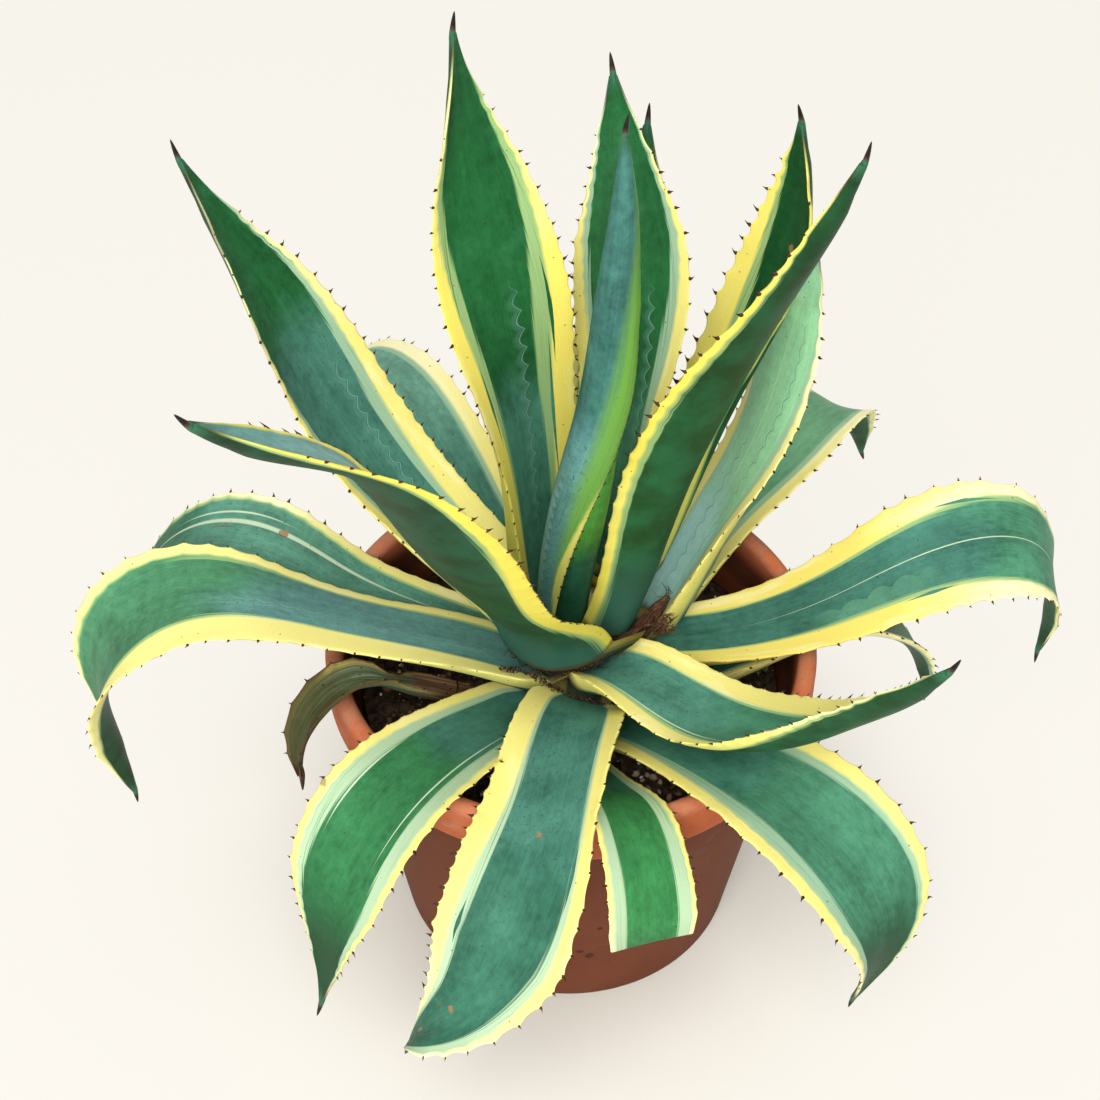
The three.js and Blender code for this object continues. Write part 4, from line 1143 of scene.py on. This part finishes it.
def make_litter():
    """Brown crumbs and curled fibres of old bracts along the leaves' seams, and fibres on the soil."""
    random = np.random.default_rng(77)
    body = Body()
    add_seam(body, SEAM, 420, 36, random)
    add_seam(body, FRONT_SEAM, 260, 16, random)
    for bearing in np.radians(random.uniform(0, 360, 46)):
        distance = random.uniform(70, inside_radius(SOIL_TOP) - 6)
        middle = around_axis(distance, bearing, soil_height(distance) + 2.5)
        add_loose_fibre(body, middle, 14, 40, 0.5, random)
    for _ in range(26):  # longer and thicker ones at the left
        bearing = math.radians(random.uniform(172, 202))
        distance = random.uniform(74, 132)
        middle = around_axis(distance, bearing, soil_height(distance) + random.uniform(2, 14))
        heading, length, radius = random.uniform(0, TURN), random.uniform(24, 52), random.uniform(0.5, 1.2)
        add_fibre(body, middle, heading, length, radius, random)
    body.build("bract_litter", [litter_material()], "husk")


LITTER_TONES = (0.016, 0.009, 0.005), (0.11, 0.056, 0.028)
HUSK_TONES = (0.026, 0.01, 0.006), (0.15, 0.066, 0.034)
HUSK_PALE = (0.23, 0.14, 0.07)


def litter_material():
    """Near black to brown, with a tone drawn for each crumb."""
    sh = Shader("bract_crumbs")
    grain = sh.noise(sh.place(), 500, 4, 0.7)
    tone = sh.attribute("along") * 2 + grain
    sh.colour = sh.blend(sh.rise(tone, 0.5, 1.1), *LITTER_TONES)
    return sh.finish(0.85, grain, 0.0006)


def husk_material():
    """Dark papery brown, streaked lengthwise."""
    sh = Shader("dry_husk")
    streak = sh.vector(sh.attribute("across") * 18, sh.attribute("along") * 40, 1)
    streak = sh.noise(streak, 1, 4, 0.6)
    mottle = sh.noise(sh.stretch(sh.place(), 160, 160, 160), 1, 4, 0.6)
    sh.colour = sh.blend(sh.rise(streak, 0.35, 0.65), *HUSK_TONES)
    sh.paint(sh.rise(mottle, 0.5, 0.7) * 0.7, HUSK_PALE)
    return sh.finish(0.75, streak + mottle * 0.5, 0.0008)


# ------------------------------------------------------------------ pot

WALL = 14  # the pot's wall, in millimetres as the leaves are
SOIL_TOP = 221  # where the soil meets the wall
SOIL_MOUND = 14  # how much higher it is in the middle
FOOT_RADIUS = 131
LIP = 7  # radius of the rounded rim
COLLAR = 37  # height of the collar, with the rim
COLLAR_STEP = 14  # how far it stands out from the wall
POT_SIDES = 192
DRAIN_CIRCLE = 55  # how far the drain holes lie from the axis
DRAIN_RADIUS = 9


def inside_radius(z):
    floor = FOOT_RADIUS - WALL
    mouth = RIM_RADIUS - 2 * LIP - 2
    return floor + (mouth - floor) * (z - WALL) / (POT_HEIGHT - WALL)


def arc(x, y, radius, start, end, steps):
    angles = np.radians(np.linspace(start, end, steps))
    return [(x + radius * math.cos(a), y + radius * math.sin(a)) for a in angles]


def line(start, end, steps):
    """Points that part the way between two places into steps."""
    (x, y), (far_x, far_y) = start, end
    return [(x + (far_x - x) * k / steps, y + (far_y - y) * k / steps) for k in range(1, steps)]


def turned(profile, sides, x=0, y=0):
    """Rings of points made by turning a profile of radius and height about an upright axis."""
    turn = np.arange(sides) * TURN / sides
    radius, height = np.array(profile, float).T[:, :, None]
    level = height * np.ones(sides)
    return np.stack([x + radius * np.cos(turn), y + radius * np.sin(turn), level], axis=-1)


def pot_profile():
    """Radius and height round the pot's wall: foot, outside, collar, lip and inside."""
    wall_top = POT_HEIGHT - COLLAR
    wall_radius = RIM_RADIUS - COLLAR_STEP
    foot = arc(FOOT_RADIUS - 4, 4, 4, -90, -8, 6)
    under_collar = arc(wall_radius + 2.5, wall_top - 2, 2.5, 180, 90, 6)
    collar = arc(RIM_RADIUS - 5, wall_top + 5.5, 5, -88, -4, 8)
    lip = arc(RIM_RADIUS - LIP, POT_HEIGHT - LIP, LIP, 0, 180, 20)
    inside_foot = (inside_radius(WALL + 6), WALL + 6)
    return ([(8, 0)] + foot + line(foot[-1], under_collar[0], 26) + under_collar + collar
            + line(collar[-1], lip[0], 5) + lip + line(lip[-1], inside_foot, 26)
            + [inside_foot, (inside_radius(WALL) - 6, WALL), (8, WALL)])


def make_pot():
    """The turned pot, with three drain holes cut through its floor."""
    body = Body()
    rings = turned(pot_profile(), POT_SIDES)
    body.add(rings, tube_faces(len(rings), POT_SIDES))
    pot = body.build("pot_terracotta", [terracotta_material()], "terracotta", "pot")
    for number in range(3):
        place = around_axis(DRAIN_CIRCLE * MM, TURN * number / 3, 0)
        radius = DRAIN_RADIUS * MM
        bpy.ops.mesh.primitive_cylinder_add(radius=radius, depth=0.06, vertices=48, location=place)
        drill = bpy.context.object
        cut = pot.modifiers.new("drain", "BOOLEAN")
        cut.operation = "DIFFERENCE"
        cut.object = drill
        bpy.context.view_layer.update()
        drilled = bpy.data.meshes.new_from_object(pot.evaluated_get(bpy.context.evaluated_depsgraph_get()))
        pot.modifiers.clear()
        pot.data = drilled
        bpy.data.objects.remove(drill)


POT_MARKS = (  # chips and pale scuffs on the outer wall: bearing, height, size and whether it is a chip
    (-80, 110, 2.6, True), (-82.3, 67, 4, True), (-85.4, 75, 3, True), (-55.8, 237, 1.6, True),
    (-53, 179, 7, False), (-50, 190, 5, False), (-56, 186, 4, False), (-128, 183, 4, False),
)
CLAY_TONES = (0.7, 0.145, 0.042), (0.84, 0.23, 0.092)
CLAY_RING = (0.56, 0.25, 0.15)
CLAY_SCUFF = (0.76, 0.48, 0.36)
CLAY_PITTED = (0.09, 0.035, 0.02)
CLAY_WORN_AND_LIT = (0.68, 0.3, 0.19)
CLAY_DAMP_AND_SHADE = (0.034, 0.01, 0.004)
CLAY_CHIP = (0.04, 0.018, 0.012)
CLAY_PALE_MARK = (0.64, 0.4, 0.3)


def terracotta_material():
    """Cloudy clay with turning rings, scuffs and chips, a lip top paler from wear and painted light, an
    inner wall darkened both as moist clay and as painted shade, and a collar darkened as painted shade.
    """
    sh = Shader("terracotta")
    place = sh.place()
    x, y, z = sh.split(place)
    radius = sh.distance(x, y)
    cloud = sh.noise(place, 14, 5, 0.6)
    grain = sh.noise(place, 900, 3, 0.6)
    rings = sh.noise(sh.stretch(place, 3, 3, 420), 1, 3, 0.6)
    scuff = sh.noise(sh.stretch(place, 30, 30, 55), 1, 6, 0.75)
    sh.colour = sh.blend(sh.rise(cloud, 0.32, 0.68), *CLAY_TONES)
    sh.paint(sh.rise(rings, 0.45, 0.75) * 0.20, CLAY_RING)
    sh.paint(sh.rise(scuff, 0.56, 0.72) * 0.4, CLAY_SCUFF)
    # heights and radii here are in metres
    chip = sh.spots(place, 60, 0.20, 0.15, 0.965, 0.97, sh.noise(place, 300) * 0.2)
    sh.paint(chip * 0.8, CLAY_PITTED)
    # wear and painted light: the lip's top is paler in scuffed patches
    sh.paint(sh.rise(z, 0.262, 0.270) * sh.rise(scuff, 0.35, 0.6) * 0.75, CLAY_WORN_AND_LIT)
    bearing = sh.math("ARCTAN2", y, x) * (180 / math.pi)
    for mark, at_height, size, deep in POT_MARKS:
        away = sh.distance((bearing - mark) * (math.pi / 180) * radius, z - at_height * MM)
        away = away + (sh.noise(place, 260, 4) - 0.5) * (1.2 * size * MM)
        spot = sh.rise(away, size * MM, 0.6 * size * MM) * sh.rise(radius, 0.128, 0.132)
        sh.paint(spot * (0.85 if deep else 0.45), CLAY_CHIP if deep else CLAY_PALE_MARK)
        chip = sh.math("MAXIMUM", chip, spot) if deep else chip
    # damp and painted shade: the inner wall is darkened from just under the lip downward
    damp_and_shade = sh.rise(z, 0.2715, 0.250) * sh.rise(radius, 0.1700, 0.1675)
    sh.paint(damp_and_shade * 0.9, CLAY_DAMP_AND_SHADE)
    # painted shade: the collar and lip are darker than the wall, the lip's top a little less so
    collar_shade = sh.rise(z, 0.228, 0.240) * -0.64 + sh.rise(z, 0.264, 0.271) * 0.12
    sh.shade(collar_shade + 1.10 + grain * 0.32)
    return sh.finish(cloud * 0.2 + 0.62, grain * 0.5 + rings * 0.6 + chip * -3, 0.0003)


# ------------------------------------------------------------------ soil and what lies on it

SOIL_SIDES = 220
SOIL_RINGS = 74
SOIL_TONES = (0.014, 0.009, 0.005), (0.104, 0.065, 0.036)
SOIL_FIBRE = (0.11, 0.08, 0.05)
SOIL_PERLITE = (0.64, 0.6, 0.52)


@dataclass
class Crumbs:
    """Loose bits on the soil. Sizes are radii in millimetres."""

    name: str
    material: str
    dark: tuple
    light: tuple
    seed: int
    count: int
    sizes: tuple
    squash: float
    inner: float = 40  # how near the pot's axis they lie
    bearings: tuple = (0, 360)


CRUMBS = (
    Crumbs("bark_chips", "bark", (0.014, 0.009, 0.006), (0.132, 0.083, 0.048), 3, 900, (1.6, 5.2), 0.5),
    Crumbs("perlite_bits", "perlite", (0.48, 0.45, 0.39), (0.8, 0.78, 0.72), 4, 170, (0.8, 2), 0.8),
    Crumbs("pumice_grains", "pumice", (0.33, 0.22, 0.13), (0.62, 0.5, 0.35), 5, 26, (2.4, 4.6), 0.8, 90),
    Crumbs("pumice_patch", "pumice_tan", (0.24, 0.15, 0.085), (0.56, 0.43, 0.28), 6, 34, (1.8, 3.8), 0.8,
           100, (288, 316)),
)


def soil_height(radius):
    share = np.clip(radius / inside_radius(SOIL_TOP), 0, 1)
    return SOIL_TOP + SOIL_MOUND * (1 - share * share)


def make_soil():
    """Potting mix that fills the pot, its top crumbled into lumps."""
    share = np.linspace(0, 1, SOIL_RINGS)
    radii = (inside_radius(SOIL_TOP) - 0.5) * (1 - share) + 1.5 * share
    floor, above = WALL + 0.4, WALL + 6
    under = [(8, floor), (inside_radius(WALL) - 7, floor), (inside_radius(above) - 0.4, above)]
    # rings of lumps run inward from the wall
    points = turned(under + [(radius, soil_height(radius)) for radius in radii], SOIL_SIDES)
    for ring in points[len(under) + 1:]:
        for point in ring:
            place = Vector((point[0], point[1], 0)) * 0.045
            lumps = noise.fractal(place, 1, 2.1, 5) * 2.4 + noise.fractal(place * 5, 1, 2.1, 3) * 1.1
            point[2] = point[2] + lumps - 0.6
    body = Body()
    body.add(points, tube_faces(len(points), SOIL_SIDES))
    body.build("soil_bed", [soil_material()], "soil", "soil")


def soil_material():
    """Dark clumps with lighter fibres of peat and tiny bits of perlite."""
    sh = Shader("soil")
    place = sh.place()
    clumps = sh.noise(place, 130, 6, 0.7)
    fine = sh.noise(place, 900, 4, 0.7)
    sh.colour = sh.blend(sh.rise(clumps, 0.35, 0.65), *SOIL_TONES)
    sh.paint(sh.rise(fine, 0.55, 0.68) * 0.5, SOIL_FIBRE)
    sh.paint(sh.spots(place, 420, 0.30, 0.24, 0.962, 0.965), SOIL_PERLITE)
    return sh.finish(0.9, clumps + fine * 0.6, 0.003)


def crumb(random, size, squash):
    """An irregular lump as points and faces."""
    lump = bmesh.new()
    bmesh.ops.create_icosphere(lump, subdivisions=1, radius=1)
    shape = np.array([v.co for v in lump.verts])
    faces = [[v.index for v in face.verts] for face in lump.faces]
    lump.free()
    shape = shape * random.uniform(0.7, 1.2, (len(shape), 1))
    shape = shape * np.array([1, random.uniform(0.5, 0.9), squash])
    turn = Euler(random.uniform(-0.5, 0.5, 2).tolist() + [random.uniform(0, 6.3)]).to_matrix()
    return (shape * size) @ np.array(turn).T, faces


def scatter(crumbs):
    """Crumbs lying over the soil between two bearings, each with a number drawn for its tone."""
    random = np.random.default_rng(crumbs.seed)
    body = Body()
    edge = inside_radius(SOIL_TOP) - 4
    for _ in range(crumbs.count):
        bearing = math.radians(random.uniform(*crumbs.bearings))
        distance = math.sqrt(random.uniform(crumbs.inner**2, edge**2))
        size = random.uniform(*crumbs.sizes)
        points, faces = crumb(random, size, crumbs.squash)
        ground = soil_height(distance) + 0.25 * size * crumbs.squash + random.uniform(-0.6, 1.4)
        place = around_axis(distance, bearing, ground)
        body.add(points + place, faces, draw=np.full(len(points), random.random()))
    body.build(crumbs.name, [crumb_material(crumbs)], "soil")


def crumb_material(crumbs):
    """Fibrous and grainy, between the crumbs' dark and light tones."""
    sh = Shader(crumbs.material)
    grain = sh.noise(sh.place(), 700, 4, 0.7)
    fibre = sh.noise(sh.stretch(sh.place(), 300, 900, 500))
    sh.colour = sh.blend(sh.rise(sh.attribute("draw") + fibre * 0.4, 0.2, 1.2), crumbs.dark, crumbs.light)
    sh.shade(grain * 0.6 + 0.7)
    return sh.finish(0.9, grain + fibre, 0.0008)


STEM_PROFILE = (  # radius and height
    (33, 150), (33.5, 200), (33.5, 235), (30, 245), (24, 262), (18, 285), (12, 304), (8, 305.5),
)
STEM_TONES = (0.33, 0.29, 0.09), (0.56, 0.56, 0.26)
STEM_SCAR = (0.15, 0.08, 0.035)


def make_stem():
    """The short stem in the heart, hidden by the leaves."""
    body = Body()
    rings = turned(STEM_PROFILE, 64, STEM_X, STEM_Y)
    body.add(rings, tube_faces(len(rings), 64))
    body.build("stem_core", [stem_material()], "stem", "stem")


def stem_material():
    """Yellowish green, ringed with brown scars."""
    sh = Shader("stem")
    place = sh.place()
    scars = sh.noise(sh.stretch(place, 30, 30, 420))
    mottle = sh.noise(place, 120, 5, 0.65)
    sh.colour = sh.blend(sh.rise(mottle, 0.35, 0.65), *STEM_TONES)
    sh.paint(sh.rise(scars, 0.52, 0.62) * 0.7, STEM_SCAR)
    return sh.finish(0.6, scars + mottle * 0.4, 0.001)


SEEDLING_X, SEEDLING_Y = 141, 8
SEEDLING_STEM = 7
SEEDLING_TONES = (0.055, 0.19, 0.03), (0.12, 0.31, 0.075)
SEEDLING_MIDRIB = (0.2, 0.33, 0.12)


def make_seedling():
    """A small weed seedling with two soft leaves."""
    ground = float(soil_height(math.hypot(SEEDLING_X, SEEDLING_Y)))
    top = ground + SEEDLING_STEM
    body = Body()
    for heading in (165, 60):
        leaf = Leaf(
            "seedling", heading, height=0, length=22, width=14, seat=0, seat_turn=0,
            pitch=[40, 5], turn=[0, 0], roll=[0, 0], gutter=[20, 20], thin=True, bare=True)
        add_blade(body, Blade(leaf, 30, at=(SEEDLING_X, SEEDLING_Y, top - 1)), WITHERED_LOOK)
    places = np.array([[SEEDLING_X, SEEDLING_Y, z] for z in np.linspace(ground - 8, top, 8)])
    across, up = np.eye(3)[:2]
    add_horn(body, places, np.linspace(1.8, 1.3, 8), 1, across, up, 0, sides=12)
    body.build("seedling_leaves", [seedling_material()], "seedling", "seedling")


def seedling_material():
    """Fresh green with a paler midrib and side veins in relief."""
    sh = Shader("seedling")
    outward = abs(sh.attribute("across"))
    midrib = sh.rise(outward, 0.07, 0)
    mottle = sh.noise(sh.place(), 500, 4)
    sh.colour = sh.blend(mottle, *SEEDLING_TONES)
    sh.paint(midrib * 0.6, SEEDLING_MIDRIB)
    ribs = sh.math("SINE", sh.attribute("along") * 2200 + outward * 3)
    return sh.finish(0.45, midrib + ribs * 0.2 + mottle * 0.3, 0.0004)


# ------------------------------------------------------------------ studio

FLOOR_TONE = (0.96, 0.93, 0.86)
FLOOR_REACH = 6
OPEN_LIGHT = 1.2  # what the room and the panels give an open floor
LAMP_TONE = (1, 0.985, 0.95)
LAMPS = (  # name, place, size and power of each panel
    ("front_panel", (-0.30, -1.55, 2.05), 1.6, 44),
    ("low_panel", (-0.40, -1.90, 0.80), 1.4, 22),
    ("overhead_panel", (0.2, 0.5, 2.4), 2, 14),
)
LIT_POINT = Vector((0, 0, 0.3))
EYE = (0, -1.068, 1.419)
CAMERA_ANGLES = (44.8, -0.86, 0.53)  # looking down, looking aside and tilted


def make_floor():
    """A plain pale sheet that the pot stands on."""
    mesh = bpy.data.meshes.new("floor")
    corners = [(x * FLOOR_REACH, y * FLOOR_REACH, 0) for x, y in ((-1, -1), (1, -1), (1, 1), (-1, 1))]
    mesh.from_pydata(corners, [], [(0, 1, 2, 3)])
    floor = bpy.data.objects.new("floor", mesh)
    bpy.context.scene.collection.objects.link(floor)
    sh = Shader("floor", specular=0)
    x, y, _ = sh.split(sh.place())
    lit = sh.rise(sh.distance(x, y), 0.16, 0.36)  # the sheet glows, except near the pot
    glow = lit * 0.74 + 0.14
    sh.feed(sh.surface.inputs["Emission Color"], FLOOR_TONE)
    sh.feed(sh.surface.inputs["Emission Strength"], glow)
    paper = sh.noise(sh.place(), 40)
    answer = (1 - glow) * (paper * (0.03 / OPEN_LIGHT) + 0.985 / OPEN_LIGHT)
    sh.colour = sh.shaded(FLOOR_TONE, answer)
    mesh.materials.append(sh.finish(0.95))


def light_studio():
    """Plain soft light: a white room, a wide panel above the front, a low one below it and one overhead."""
    world = bpy.data.worlds.new("studio")
    world.use_nodes = True
    room = world.node_tree.nodes["Background"]
    room.inputs["Color"].default_value = (1, 0.985, 0.96, 1)
    room.inputs["Strength"].default_value = 0.56
    bpy.context.scene.world = world
    for name, place, size, power in LAMPS:
        panel = bpy.data.lights.new(name, "AREA")
        panel.shape = "DISK"
        panel.size = size
        panel.energy = power
        panel.color = LAMP_TONE
        lamp = bpy.data.objects.new(name, panel)
        lamp.location = place
        lamp.rotation_euler = (LIT_POINT - lamp.location).to_track_quat("-Z", "Y").to_euler()
        bpy.context.scene.collection.objects.link(lamp)


def aim_camera():
    """A longish lens looks down on the plant from the front."""
    camera = bpy.data.cameras.new("camera")
    camera.lens = 70
    camera.sensor_width = 36
    camera.sensor_height = 36
    down, aside, tilt = (math.radians(angle) for angle in CAMERA_ANGLES)
    ahead = Vector((math.sin(aside) * math.cos(down), math.cos(aside) * math.cos(down), -math.sin(down)))
    right = Vector((math.cos(aside), -math.sin(aside), 0))
    above = right.cross(ahead)
    across = right * math.cos(tilt) + above * math.sin(tilt)
    upward = above * math.cos(tilt) - right * math.sin(tilt)
    eye = bpy.data.objects.new("camera", camera)
    eye.matrix_world = Matrix.Translation(EYE) @ Matrix((across, upward, -ahead)).transposed().to_4x4()
    bpy.context.scene.collection.objects.link(eye)
    bpy.context.scene.camera = eye
    bpy.context.scene.view_settings.view_transform = "Standard"


# ------------------------------------------------------------------ the whole scene

HORN_MATERIAL = horn_material()
SPINE_MATERIAL = spine_material()
aim_camera()
light_studio()
make_floor()
make_pot()
make_soil()
for crumbs in CRUMBS:
    scatter(crumbs)
make_stem()
make_litter()
make_seedling()
for leaf in LEAVES:
    if leaf.furled:
        make_spear(leaf)
    elif leaf.bare:
        make_husk(leaf)
    elif leaf.thin:
        make_withered_leaf(leaf)
    else:
        make_leaf(leaf)
